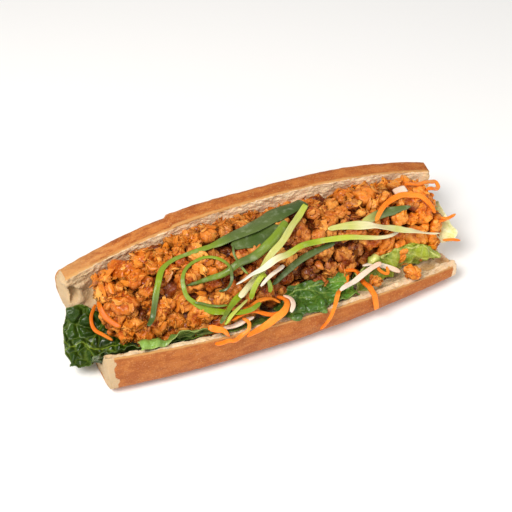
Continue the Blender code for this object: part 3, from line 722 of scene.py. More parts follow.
def clump_seats(points, normals):
    """Seats, normals, sizes and frilliness of all clumps: the named ones, then ever smaller ones between."""
    clumps = []
    found = drop_on("salt_cod", [(x, y) for x, y, _, _ in CLUMPS])
    for (_, _, size, frill), (hit, normal) in zip(CLUMPS, found):
        if hit is not None:
            clumps.append((settle(np.array(hit / MM)), np.array(normal), size, frill))
    random = np.random.default_rng(3)
    depth = 7.0 * hollow_at(points) + 2.0 * np.clip(fractal(points, 14, 2, 77), 0, 1)
    lowered = points - normals * depth[:, None]
    from_middle = np.abs(points[:, 0] - HEAP_MIDDLE_X)
    above = points[:, 2] > CLUMPS_FROM_Z
    top = np.flatnonzero((normals[:, 2] > -0.45) & above & (from_middle < 112))
    ends = np.flatnonzero((from_middle > 109) & above)
    lowered[ends] -= normals[ends] * 2.2 * ease(from_middle[ends], 111, 114)[:, None]
    steps = [(top, 13.0, 2500, 0.84), (top, 9.0, 3500, 0.80), (top, 6.0, 3000, 0.80), (ends, 5.9, 2500, 0.66)]
    for places, size, tries, closeness in steps:
        for pick in random.choice(places, tries):
            if hollow_at(points[pick]) > 0.75:
                continue
            own = size * random.uniform(0.85, 1.2)
            gaps = np.linalg.norm(np.array([clump[0] for clump in clumps]) - lowered[pick], axis=1)
            sizes = np.array([clump[2] for clump in clumps])
            if (gaps > closeness * (sizes + own) / 2).all():
                frill = 0.75 - (points[pick][0] + 60) / 150 + random.normal(0, 0.2)
                clumps.append((lowered[pick], normals[pick], own, np.clip(frill, 0.05, 1)))
    return tuple(np.array(column) for column in zip(*clumps))


def add_clumps(name, level, seats, ups, sizes, frills, seed, nodes=()):
    """Soft lumps of flaked cod. Returns their points, normals, frilliness and depth as seats for flakes."""
    random = np.random.default_rng(seed)
    ball, faces = ball_template(level)
    count = len(seats)
    angles, tilts = random.uniform(0, 6.3, count), np.abs(random.normal(0, 0.2, count))
    axes = frames_on(ups, angles, tilts, random)
    up = axes[2]
    radius = sizes[:, None] / 2
    long, flat = random.uniform(1.0, 1.3, (count, 1)), random.uniform(0.72, 0.92, (count, 1))
    local = [ball[:, 0] * radius * long, ball[:, 1] * radius / long**0.5, ball[:, 2] * radius * flat]
    offset = sum(part[..., None] * axis[:, None] for part, axis in zip(local, axes))
    where = seats[:, None] + offset + random.uniform(-400, 400, (count, 1, 3))
    fibre = unit(random.normal(0, 1, (count, 1, 3)))
    run = np.sum(where * fibre, axis=2, keepdims=True)
    # relief: broad swells, lobes, and strands that run along the clump's fibres
    scale = np.clip(radius / 6, 0.45, 1.2)
    push = 1.6 * fractal(where, 8, 2, seed + 5) * scale
    lobed = where - 0.6 * fibre * run + fractal(where, 5, 1, seed + 2)[..., None]
    near, following, number = cells(lobed, 4.8, seed + 3)
    push += scale * (0.9 * ease(following - near, 0, 0.5) + 1.5 * (number - 0.5) - 0.5)
    stranded = where - 0.8 * fibre * run + 0.9 * fractal(where, 4, 1, seed + 6)[..., None]
    near, following, number = cells(stranded, 1.75, seed + 7)
    push += 0.5 * ease(following - near, 0, 0.5) + 0.9 * (number - 0.5)
    rise = (FLOAT_UP - CLUMP_SINK * radius)[..., None]
    points = seats[:, None] + up[:, None] * rise + offset + unit(offset) * push[..., None]
    CEILING.press(points)
    # colour: painted shade low down and in hollows, and a painted highlight on what stands out
    height = np.sum((points - seats[:, None]) * up[:, None], axis=2) - 1.5
    in_hollow = 0.9 * hollow_at(seats)[:, None] * (sizes[:, None] < 13)
    sunk = np.clip(ease(1 - height, 0, 6) + in_hollow, 0, 1)[..., None]
    out = np.clip((push / scale + 2.2) / 4.2, 0, 1)
    tone = tone_at(points) * random.uniform(0.85, 1.15, (count, 1, 1))
    pale = random.uniform(0.1, 0.95, (count, 1, 1)) * ease(out, 0.3, 0.9)[..., None]
    colours = tone * (np.array([0.62, 0.34, 0.16]) + (0.38, 0.50, 0.50) * ease(out, 0.1, 0.8)[..., None])
    colours = colours + (np.array(PALE_COD) - colours) * pale
    colours = np.clip(colours * (1 - sunk * SUNK_SHADE), 0, 1).reshape(-1, 3)
    faces = copied_faces(faces, count, len(ball))
    points = points.reshape(-1, 3)
    grain = (where - 0.8 * fibre * run).reshape(-1, 3)
    add_piece(name, points, faces, COD, nodes, "salt_cod", colours, {"grain": grain})
    seen = (np.sum(offset * up[:, None], axis=2) > -0.05 * radius).ravel()
    found = (points, mesh_normals(points, faces), np.repeat(frills, len(ball)), sunk.ravel())
    return tuple(part[seen] for part in found)


def flake_template(long, wide):
    """A closed leaf of two sheets that share their rim: places along, across and up or down, quads, and the
    grid point that each place belongs to."""
    spread = [np.sin(np.linspace(-math.pi / 2, math.pi / 2, count)) for count in (long, wide)]
    a, b = np.meshgrid(*spread, indexing="ij")
    middle = np.zeros(a.shape, bool)
    middle[1:-1, 1:-1] = True
    top = np.arange(a.size).reshape(a.shape)
    under = top.copy()
    under[middle] = a.size + np.arange(middle.sum())
    faces = np.concatenate([grid_faces(top), grid_faces(under, True)])
    upper = np.stack([a, b, middle + 0 * a], axis=-1).reshape(-1, 3)
    lower = np.stack([a[middle], b[middle], -np.ones(middle.sum())], axis=-1)
    return np.concatenate([upper, lower]), faces, np.concatenate([np.arange(a.size), np.flatnonzero(middle)])


def add_flakes(name, seats, normals, sunk, sizes, seed, grid=(8, 5), tilt=0.4, torn=0.3, sink=(-0.3, 0.6),
               curl=(-0.2, 0.8), bow=(-0.15, 0.35), shade=(0.8, 1.2), pale=0.75):
    """Plump flakes with torn tips, one on each seat. sizes are ranges of length, width and thickness."""
    random = np.random.default_rng(seed)
    count = len(seats)
    heading = 3 * fractal(seats, 9, 2, seed) + random.normal(0, 0.5, count)
    axes = frames_on(normals, heading, np.abs(random.normal(0, tilt, count)), random)
    length, width, thick = (random.uniform(*size, count)[:, None] / 2 for size in sizes)
    places, faces, owner = flake_template(*grid)
    a, b, side = places.T
    each = np.arange(count)[:, None]
    strand = np.round((np.arcsin(b) / math.pi + 0.5) * (grid[1] - 1)).astype(int)
    reach = 1 + torn * random.uniform(-1, 1, (count, grid[1]))[:, strand] * ease(a, 0.1, 1)
    wobble = 1 + 0.32 * smooth_noise(np.stack(np.broadcast_arrays(a * 2.6, b * 1.3, each * 3.7), axis=-1))
    plump = np.sqrt(np.clip((1 - a**2) * (1 - b**2), 0.02, 1))
    x = a * length * reach
    y = b * np.sqrt(1.04 - np.abs(a) ** 2.6) * width * wobble
    z = side * thick * plump * wobble
    z = z + random.uniform(*curl, count)[:, None] * width * b**2
    z = z + random.uniform(*bow, count)[:, None] * length * a**2
    ragged = random.normal(0, 1, (3, count, grid[0] * grid[1]))[..., owner]
    ragged = ragged * width * (0.03 + 0.06 * np.maximum(np.abs(a), np.abs(b)))
    x, y, z = x + ragged[0] * 1.3, y + ragged[1], z + ragged[2]
    points = sum((part[..., None] * axis[:, None] for part, axis in zip((x, y, z), axes)), seats[:, None])
    points = points - normals[:, None] * random.uniform(*sink, count)[:, None, None]
    points = points.reshape(-1, 3)
    CEILING.press(points)
    # colour: painted shade at the flakes' roots and where they sit low, and a painted highlight towards their
    # tips
    tip = np.tile(ease(a, -0.9, 0.9), (count, 1))
    tone = tone_at(seats)[:, None] * (random.uniform(*shade, count) * (1 - 0.8 * sunk))[:, None, None]
    light = np.array(PALE_COD) * (1 - 0.75 * sunk[:, None, None])
    lift = (pale * random.uniform(0, 1.0, (count, 1)) ** 1.2 * (0.35 + 0.65 * tip))[..., None]
    colours = tone * (np.array([0.88, 0.76, 0.46]) + (0.22, 0.34, 0.50) * tip[..., None])
    colours = np.clip(colours + (light - colours) * lift, 0, 1).reshape(-1, 3)
    grain = np.stack(np.broadcast_arrays(x * 0.2, y, each * 7.3), axis=-1).reshape(-1, 3)
    faces = copied_faces(faces, count, len(a))
    add_piece(name, points, faces, FLAKE, [], "salt_cod", colours, {"grain": grain})


# Flakes scattered over the clumps: how many, how much they keep to frilly clumps, ranges of length, width and
# thickness, and how they lie
SCATTERED = {
    "cod_flakes": (480, 0.7, ((4.5, 9), (2.2, 4.4), (1.2, 2.0)),
                   {"tilt": 0.26, "torn": 0.45, "shade": (0.9, 1.15)}),
    "cod_frills": (700, 1.5, ((3, 5.5), (1.3, 2.4), (0.8, 1.3)),
                   {"tilt": 0.4, "torn": 0.45, "grid": (7, 5), "pale": 1.0}),
    "cod_shreds": (1300, 1.8, ((2.2, 5.5), (0.45, 0.9), (0.4, 0.6)),
                   {"grid": (7, 3), "tilt": 0.8, "bow": (-0.3, 0.7), "pale": 1.1, "shade": (1.0, 1.25)}),
}
LARGE_CLUMP = 12.5
MIDDLE_CLUMP = 6.8


def add_cod():
    """The heap: its core, its clumps, the flakes on them, bare slices, and the two lumps that fell out."""
    seats, ups, sizes, frills = clump_seats(*add_core(heap_rings()))
    frills = np.clip(frills, 0.25, 1)
    found = []
    for name, level, over, up_to, most in (
        ("cod_clumps_large", 4, LARGE_CLUMP, math.inf, 66),
        ("cod_clumps_middle", 4, MIDDLE_CLUMP, LARGE_CLUMP, 120),
        ("cod_clumps_small", 3, 0, MIDDLE_CLUMP, 220),
    ):
        chosen = np.flatnonzero((sizes > over) & (sizes <= up_to))[:most]
        own = (part[chosen] for part in (seats, ups, sizes, frills))
        found.append(add_clumps(name, level, *own, 500 + 20 * level + len(name)))
    skin, skin_up, frill, sunk = (np.concatenate(parts) for parts in zip(*found))
    clear = ~CEILING.near(skin)
    skin, skin_up, frill, sunk = skin[clear], skin_up[clear], frill[clear], sunk[clear]
    random = np.random.default_rng(8)
    for name, (count, power, ranges, options) in SCATTERED.items():
        weight = frill**power * (1.15 - sunk)
        chosen = random.choice(len(skin), count, p=weight / np.sum(weight))
        add_flakes(name, skin[chosen], skin_up[chosen], sunk[chosen], ranges, 5 + count, **options)
    add_slices()
    add_lump("cod_lump_large", 10.0, 4)
    add_lump("cod_lump_small", 6.5, 3)


def add_slices():
    places = np.array(SLICES, float)
    found = drop_on("salt_cod", places[:, :2])
    normals = np.array([normal for _, normal in found])
    seats = np.array([hit / MM for hit, _ in found]) + normals * 1.5
    ranges = [(size, size + 0.01) for size in (places[:, 2], places[:, 3], 1.6 + 0 * places[:, 2])]
    add_flakes("cod_slices", seats, normals, np.zeros(len(seats)), ranges, 91, grid=(14, 9), tilt=0.15,
               torn=0.35, sink=(-1.0, 0), curl=(0.1, 0.5), bow=(0, 0.3), shade=(1.1, 1.3), pale=1.3)


def add_lump(name, size, level):
    """A lump of cod that has fallen out of the heap, rough with its own flakes."""
    middle = np.array([vertex.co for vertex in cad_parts[name].data.vertices]).mean(axis=0) / MM
    up = np.array([0, -0.5, 0.866])
    seat = middle - up * (FLOAT_UP - CLUMP_SINK * size / 2)
    skin, skin_up, _, sunk = add_clumps(name + "_clump", level, seat[None], up[None], np.array([size]),
                                        np.array([0.8]), 41 + level, [name])
    chosen = np.random.default_rng(7).choice(len(skin), 9)
    add_flakes(name + "_flakes", skin[chosen], skin_up[chosen], sunk[chosen] * 0.5,
               ((3, 5), (2.2, 3.4), (1.2, 1.8)), 43 + level, tilt=0.15, torn=0.3, pale=0.9)


def cod_material(name, subsurface):
    """Moist flaked cod, its fibres running along the "grain" attribute."""
    looks = Looks(name, 0.3, subsurface, (1.0, 0.6, 0.25), 0.26)
    fibres = looks.noise(looks.attribute("grain", "Vector"), 0.8, 3, 0.6)
    tint = looks.attribute("tint", "Color")
    colour = looks.mix(looks.between(fibres, 0.5, 0.72, 0, 0.45), tint, (0.66, 0.36, 0.22), "MULTIPLY")
    colour = looks.mix(looks.between(fibres, 0.46, 0.3, 0, 0.35), colour, (0.92, 0.46, 0.09))
    wet = looks.between(looks.noise(looks.place(), 2.5, 2), 0.4, 0.65, 0.22, 0.45)
    return looks.finish(colour, fibres, 0.3, 0.5, wet)


# ---- what lies under the strips and leaves

class Ceiling:
    """The lowest underside over each place, on a grid of half millimetres."""

    open_air = 999.0              # the height where nothing lies over a place
    deepest = 5.0                 # what sticks up further than this isn't lowered

    def __init__(self):
        self.low = np.array([-150.0, -66.0])
        self.grid = np.full((600, 270), self.open_air)

    def cells_of(self, points):
        cell = np.round((points[..., :2] - self.low) * 2).astype(int)
        return tuple(np.clip(cell[..., k], 0, self.grid.shape[k] - 1) for k in range(2))

    def lower(self, points):
        np.minimum.at(self.grid, self.cells_of(points), points[..., 2])

    def press(self, points):
        """Lowers points that stick up through a strip."""
        over = points[..., 2] - self.grid[self.cells_of(points)] + 0.1
        points[..., 2] -= np.where((over > 0) & (over < self.deepest), over, 0)

    def near(self, points):
        """Whether anything lies over these places or within 2 mm of them."""
        turns = np.linspace(0, 2 * math.pi, 8, endpoint=False)
        ring = [(2 * math.cos(turn), 2 * math.sin(turn), 0) for turn in turns]
        return np.any([self.grid[self.cells_of(points + step)] < self.open_air for step in ring], axis=0)


# ---- path over the crumb and the low edge

def carrier(u):
    """The trough's surface at u, from high on the far crumb, over the floor and the low wall's lip, and down
    the outside: points, outward normals, and the distance past the lip."""
    inner = smooth_curve(inner_section(u), 60)[::-1]
    outer = smooth_curve(outer_section(u), 60)[:14]
    line = np.concatenate([inner, outer])
    tangent = np.gradient(line, axis=0)
    for _ in range(3):
        tangent[1:-1] = (tangent[:-2] + tangent[1:-1] + tangent[2:]) / 3
    tangent = unit(tangent)
    normal = np.stack([-tangent[:, 1], tangent[:, 0]], axis=1)
    normal *= np.sign(normal[40, 1])
    along = run_of(line)
    return line, normal, along - along[len(inner) - 1]


def on_carrier(x, distance, lift):
    """The point of the trough's surface at x, at this distance past the lip, lifted off it."""
    line, normal, along = carrier(station(x))
    y, z = rows_at(distance, along, line) + rows_at(distance, along, normal) * lift
    return np.array([x, y + bend(station(x)), z])


# ---- lettuce

# Each leaf is a smooth patch through rows across the trough. A row's points are x, the distance past the
# low wall's lip (negative inside the trough) and the height off the trough's surface.
LEAVES = {
    "lettuce_left": [
        [(-135, -77, 2.4), (-141, -63, 2.4), (-144, -48, 2.4), (-145, -29, 2)],
        [(-129, -77, 2), (-131, -45, 1.5), (-132, -32, 1.8), (-134, -24, 2)],
        [(-124, -76, 1.8), (-126, -40, 1.4), (-127, -20, 1.8), (-128, -2, 2.6)],
        [(-112, -68, 1.4), (-112, -32, 1.4), (-113, -14, 1.6), (-114, 0.5, 2.6)],
        [(-92, -42, 1.2), (-92, -20, 1.2), (-93, -10, 1.4), (-94, 0.2, 2.4)],
        [(-64, -22, 1), (-64, -10, 1), (-64, -6, 1.2), (-64, -1.5, 1.6)],
    ],
    "lettuce_edge": [
        [(-104, -3, 3), (-104, 0, 5.4), (-104, 4, 3)],
        [(-90, -5, 3), (-90, -2, 4.4), (-90, 3, 3)],
        [(-78, -6, 2.6), (-78, -3, 5), (-78, 0, 6)],
        [(-65, -7, 2.6), (-65, -3, 5.6), (-65, 0, 7)],
        [(-53, -5, 2.6), (-53, -2, 3.4), (-53, 2, 2)],
    ],
    "lettuce_front": [
        [(-10, -22, 3), (-12, -12, 6), (-12, -6, 5), (-11, 0, 2.8)],
        [(-3, -21, 11), (-3, -12, 10), (-4, -3, 6), (-4, 6.5, 2.4)],
        [(6, -21, 15), (6, -12, 12), (6, -3, 6), (6, 4.5, 2.4)],
        [(16, -20, 18), (16, -12, 13), (16, -3, 6), (15, 6.5, 2.4)],
        [(25, -20, 17), (25, -12, 11), (25, -4, 5), (25, 2, 2.4)],
        [(35, -20, 17), (35, -12, 10), (35, -5, 4), (35, 1, 2.4)],
        [(47, -19, 15), (47, -14, 9), (47, -7, 4), (46, 0, 2.4)],
    ],
}

# Leaves that stand against the heap's side or past its end: rows along the leaf, each of points.
STANDING_LEAVES = {
    "lettuce_middle": [
        [(-53, -29.5, 22), (-53, -34, 28.5), (-53, -39, 30.6)],
        [(-40, -28, 18), (-40, -32, 27), (-40, -39.5, 30)],
        [(-26, -26.5, 16), (-26, -31, 25.5), (-26, -39, 29.2)],
        [(-14, -25, 15), (-14, -31, 24), (-14, -37, 28)],
    ],
    "lettuce_right": [
        [(48, -19, 12.5), (48, -20, 22), (48, -23, 18), (48, -27, 13.5)],
        [(61, -19, 12.5), (61, -18.5, 30), (61, -22.5, 22), (61, -27, 13)],
        [(71, -19, 12), (71, -18.5, 33), (71, -22, 24), (71, -25.5, 14.5)],
        [(82, -19, 12), (82, -18.5, 34.5), (82, -21.5, 26), (82, -23.5, 18)],
        [(92, -19, 12), (92, -18.5, 35.5), (92, -21.5, 28), (92, -23.3, 21)],
        [(103, -19, 12), (103, -19, 29), (103, -22, 25), (103, -23.7, 20)],
        [(113, -19.5, 12.3), (113, -20, 20), (113, -21.5, 18), (113, -22.3, 16)],
    ],
    "lettuce_tip": [
        [(116, 17, 34), (122, 13, 36), (128, 9.5, 37)],
        [(116, 9, 30), (123, 5, 31.5), (128.5, -1, 33.5)],
        [(116, 1, 27), (123, -4, 28), (129, -7, 30)],
        [(116, -7, 24), (124, -12, 25), (131, -14, 26)],
        [(116, -14, 22), (120, -17, 23), (126, -18, 23)],
    ],
}

Leaf = namedtuple("Leaf", "long wide uneven blister height pleat pleat_run ruffle "
                          "midrib spacing reach bright dark mid light")

# Each leaf's grid, unevenness of its rim, size and height of its blisters, depth and spacing of its pleats,
# ruffle of its rim, midrib in shares of its two directions, spacing and reach of its side veins, brightness
# from end to end, and dark, mid and light colours
LEAF_LOOKS = {
    "lettuce_left": (
        165, 112, 0.025, 8.5, 2.6, 0.5, 6.5, 1.4, [(0.0, 0.66), (0.2, 0.5), (0.45, 0.42), (1, 0.4)],
        10, 0.4, [1.4, 1.1, 1, 1, 1],
        (0.005, 0.015, 0.001), (0.028, 0.066, 0.003), (0.19, 0.27, 0.02),
    ),
    "lettuce_edge": (
        130, 40, 0.03, 5.0, 0.5, 2.0, 4.5, 2.8, [(0, 0.2), (1, 0.2)],
        6, 0.8, [2.6, 2.4, 1.3, 1.2, 1],
        (0.035, 0.07, 0.008), (0.11, 0.18, 0.03), (0.38, 0.46, 0.13),
    ),
    "lettuce_middle": (
        80, 36, 0.055, 4.5, 0.8, 0.8, 5.0, 0.8, [(0, 0.4), (1, 0.4)],
        6, 0.6, [1],
        (0.02, 0.05, 0.006), (0.07, 0.13, 0.02), (0.24, 0.32, 0.07),
    ),
    "lettuce_front": (
        150, 80, 0.025, 6.5, 1.5, 2.4, 4.2, 2.2, [(0, 0.3), (0.5, 0.25), (1, 0.4)],
        7, 0.6, [0.9, 1.0, 1.1, 1.3, 2.2, 2.8],
        (0.012, 0.042, 0.004), (0.062, 0.15, 0.014), (0.24, 0.34, 0.07),
    ),
    "lettuce_right": (
        150, 60, 0.03, 7.0, 0.8, 3.0, 4.2, 3.0, [(0, 0.5), (1, 0.5)],
        9, 0.6, [0.7, 0.9, 1.1, 1.1, 1],
        (0.1, 0.17, 0.004), (0.37, 0.41, 0.028), (0.76, 0.74, 0.24),
    ),
    "lettuce_tip": (
        90, 44, 0.04, 8.0, 0.5, 1.4, 6.5, 1.4, [(0, 0.1), (1, 0.1)],
        8, 0.6, [0.12, 0.85, 1.05, 1.1, 1.1, 1.05, 1, 1],
        (0.62, 0.66, 0.17), (0.85, 0.8, 0.42), (0.94, 0.9, 0.68),
    ),
}
LEAF_THICK = 0.45
VEIN_REACH = 0.42


def leaf_surface(name):
    """A fine grid over the leaf's smooth patch."""
    if name in LEAVES:
        lines = [[on_carrier(*place) for place in smooth_curve(row, 60)] for row in LEAVES[name]]
    else:
        lines = [smooth_curve(row, 60) for row in STANDING_LEAVES[name]]
    return np.stack([smooth_curve(column, 90) for column in np.stack(lines, axis=1)], axis=1)


def sample(grid, a, b):
    """The grid's points at these shares of its two directions."""
    row, column = a * (grid.shape[0] - 1), b * (grid.shape[1] - 1)
    i = np.clip(row.astype(int), 0, grid.shape[0] - 2)
    j = np.clip(column.astype(int), 0, grid.shape[1] - 2)
    p, q = (row - i)[..., None], (column - j)[..., None]
    first = grid[i, j] * (1 - q) + grid[i, j + 1] * q
    second = grid[i + 1, j] * (1 - q) + grid[i + 1, j + 1] * q
    return first * (1 - p) + second * p


def line_distance(points, line):
    """Each point's distance to a line of points."""
    best = np.full(points.shape[:-1], 1e9)
    for start, end in zip(line[:-1], line[1:]):
        step = end - start
        share = np.clip((points - start) @ step / (step @ step), 0, 1)
        best = np.minimum(best, np.linalg.norm(points - start - share[..., None] * step, axis=-1))
    return best


def vein_lines(grid, leaf):
    """The midrib and its side veins, as lines of points and how strong they are."""
    spine = smooth_curve(leaf.midrib, 24)
    lines = [(sample(grid, *spine.T), 1.0)]
    length = run_of(lines[0][0])[-1]
    for k, at in enumerate(np.arange(leaf.spacing * 0.5, length, leaf.spacing) / length):
        start = rows_at(at, even(24), spine)
        step = spine[min(int(at * 23) + 1, 23)] - spine[int(at * 23)]
        step = step / max(np.linalg.norm(step), TINY)
        side = np.array([-step[1], step[0]]) * (1 if k % 2 else -1)
        t = even(10)[:, None]
        branch = start + leaf.reach * (t * side * 0.9 + (t + 0.5 * t**2) * step * 0.45)
        branch = branch[((branch > 0) & (branch < 1)).all(axis=1)]
        if len(branch) > 2:
            lines.append((sample(grid, *branch.T), 0.6))
    return lines


def leaf_rim(a, b, leaf, seed):
    """Shares of the leaf's two directions, drawn in unevenly along its rim."""
    low_b, high_b, low_a, high_a = (leaf.uneven * (1 + line_noise(share * waves + seed, seed + k))
                                    for k, (share, waves) in enumerate([(a, 9), (a, 8), (b, 7), (b, 8)]))
    b = low_b * (1 - b) + b * (1 - high_b)
    a = low_a * 0.6 * (1 - a) + a * (1 - high_a * 0.6)
    return a, b


def add_lettuce(name, seed):
    """A blistered, veined and ruffled leaf."""
    leaf = Leaf(*LEAF_LOOKS[name])
    base = leaf_surface(name)
    a, b = leaf_rim(*np.meshgrid(even(leaf.long), even(leaf.wide), indexing="ij"), leaf, seed)
    sheet = sample(base, a, b)
    normals = grid_normals(sheet)
    normals *= np.sign(normals[..., 2].mean())
    length, width = run_of(base[:, 30])[-1], run_of(base[45])[-1]
    edge = np.minimum(np.minimum(a, 1 - a) * length, np.minimum(b, 1 - b) * width)
    veins = [weight * np.exp(-(line_distance(sheet, line) / VEIN_REACH) ** 2)
             for line, weight in vein_lines(base, leaf)]
    vein = np.max(veins, axis=0)
    warped = sheet + 1.2 * np.stack([fractal(sheet + 50 * k, 6, 2, seed + k) for k in range(3)], axis=-1)
    near, following, _ = cells(warped, leaf.blister, seed + 9)
    small, small_next, _ = cells(warped, leaf.blister * 0.42, seed + 19)
    wave = leaf.ruffle * np.exp(-(edge / 3.0) ** 2) * smooth_noise(sheet / 4.5, seed + 29)
    puffed = 0.3 + 0.7 * ease(edge, 0, 4)
    push = leaf.height * (ease(following - near, 0, 0.5) - 0.35) * puffed * (1 - 0.7 * vein)
    push += 0.16 * leaf.height * ease(small_next - small, 0, 0.5) + wave - 0.3 * vein
    folds = np.stack([a * length / leaf.pleat_run, b * width / 20, a * 0], axis=-1)
    push += leaf.pleat * smooth_noise(folds + 0.4 * fractal(sheet, 9, 1, seed + 59)[..., None], seed + 69)
    push += 0.35 * fractal(sheet, 7, 2, seed + 39)
    top = sheet + normals * push[..., None]
    normals = grid_normals(top) * np.sign(np.sum(grid_normals(top) * normals, axis=-1, keepdims=True))
    dark, mid, light = (np.array(colour) for colour in (leaf.dark, leaf.mid, leaf.light))
    patch = np.clip(0.5 + 0.5 * fractal(sheet, 12, 3, seed + 49), 0, 1)[..., None]
    colour = dark * (1 - patch) + mid * patch
    # a painted highlight on the raised blisters, leaving the valleys darker
    colour = colour + (mid - colour) * (0.5 * ease(push, 0, leaf.height + leaf.pleat))[..., None]
    colour = colour * np.interp(a, even(len(leaf.bright)), leaf.bright)[..., None]
    net, fine_net = (np.exp(-(gap / 0.07) ** 2) for gap in (following - near, small_next - small))
    pale = np.clip(vein + 0.28 * net + 0.08 * fine_net + 0.6 * np.exp(-(edge / 1.3) ** 2), 0, 1)[..., None]
    add_sheet(name, top, top - normals * LEAF_THICK, colour + (light - colour) * pale)


def add_sheet(name, top, under, colour):
    """A leaf as a closed sheet from its upper and lower grids."""
    block = np.stack([top, under], axis=2)
    points = block.reshape(-1, 3)
    outwards = np.stack([top - under, under - top], axis=2).reshape(-1, 3)
    faces = facing(points, block_skin(block.shape[:3])[1], outwards)
    add_piece(name + "_leaf", points, faces, LEAF, [name], "lettuce", colour.reshape(-1, 3).repeat(2, axis=0))


def leaf_material():
    looks = Looks("lettuce", 0.3, 0.0, (0.8, 1.2, 0.3), 0.4)
    own = looks.place()
    speckle = looks.noise(own, 1.1, 3)
    tint = looks.attribute("tint", "Color")
    colour = looks.mix(looks.between(speckle, 0.4, 0.65, 0, 0.35), tint, (0.45, 0.60, 0.30), "MULTIPLY")
    height = looks.maths("ADD", speckle, looks.noise(own, 0.4, 2))
    gloss = looks.between(looks.noise(own, 3, 2), 0.35, 0.65, 0.22, 0.4)
    return looks.finish(colour, height, 0.12, 0.4, gloss)


# ---- strips

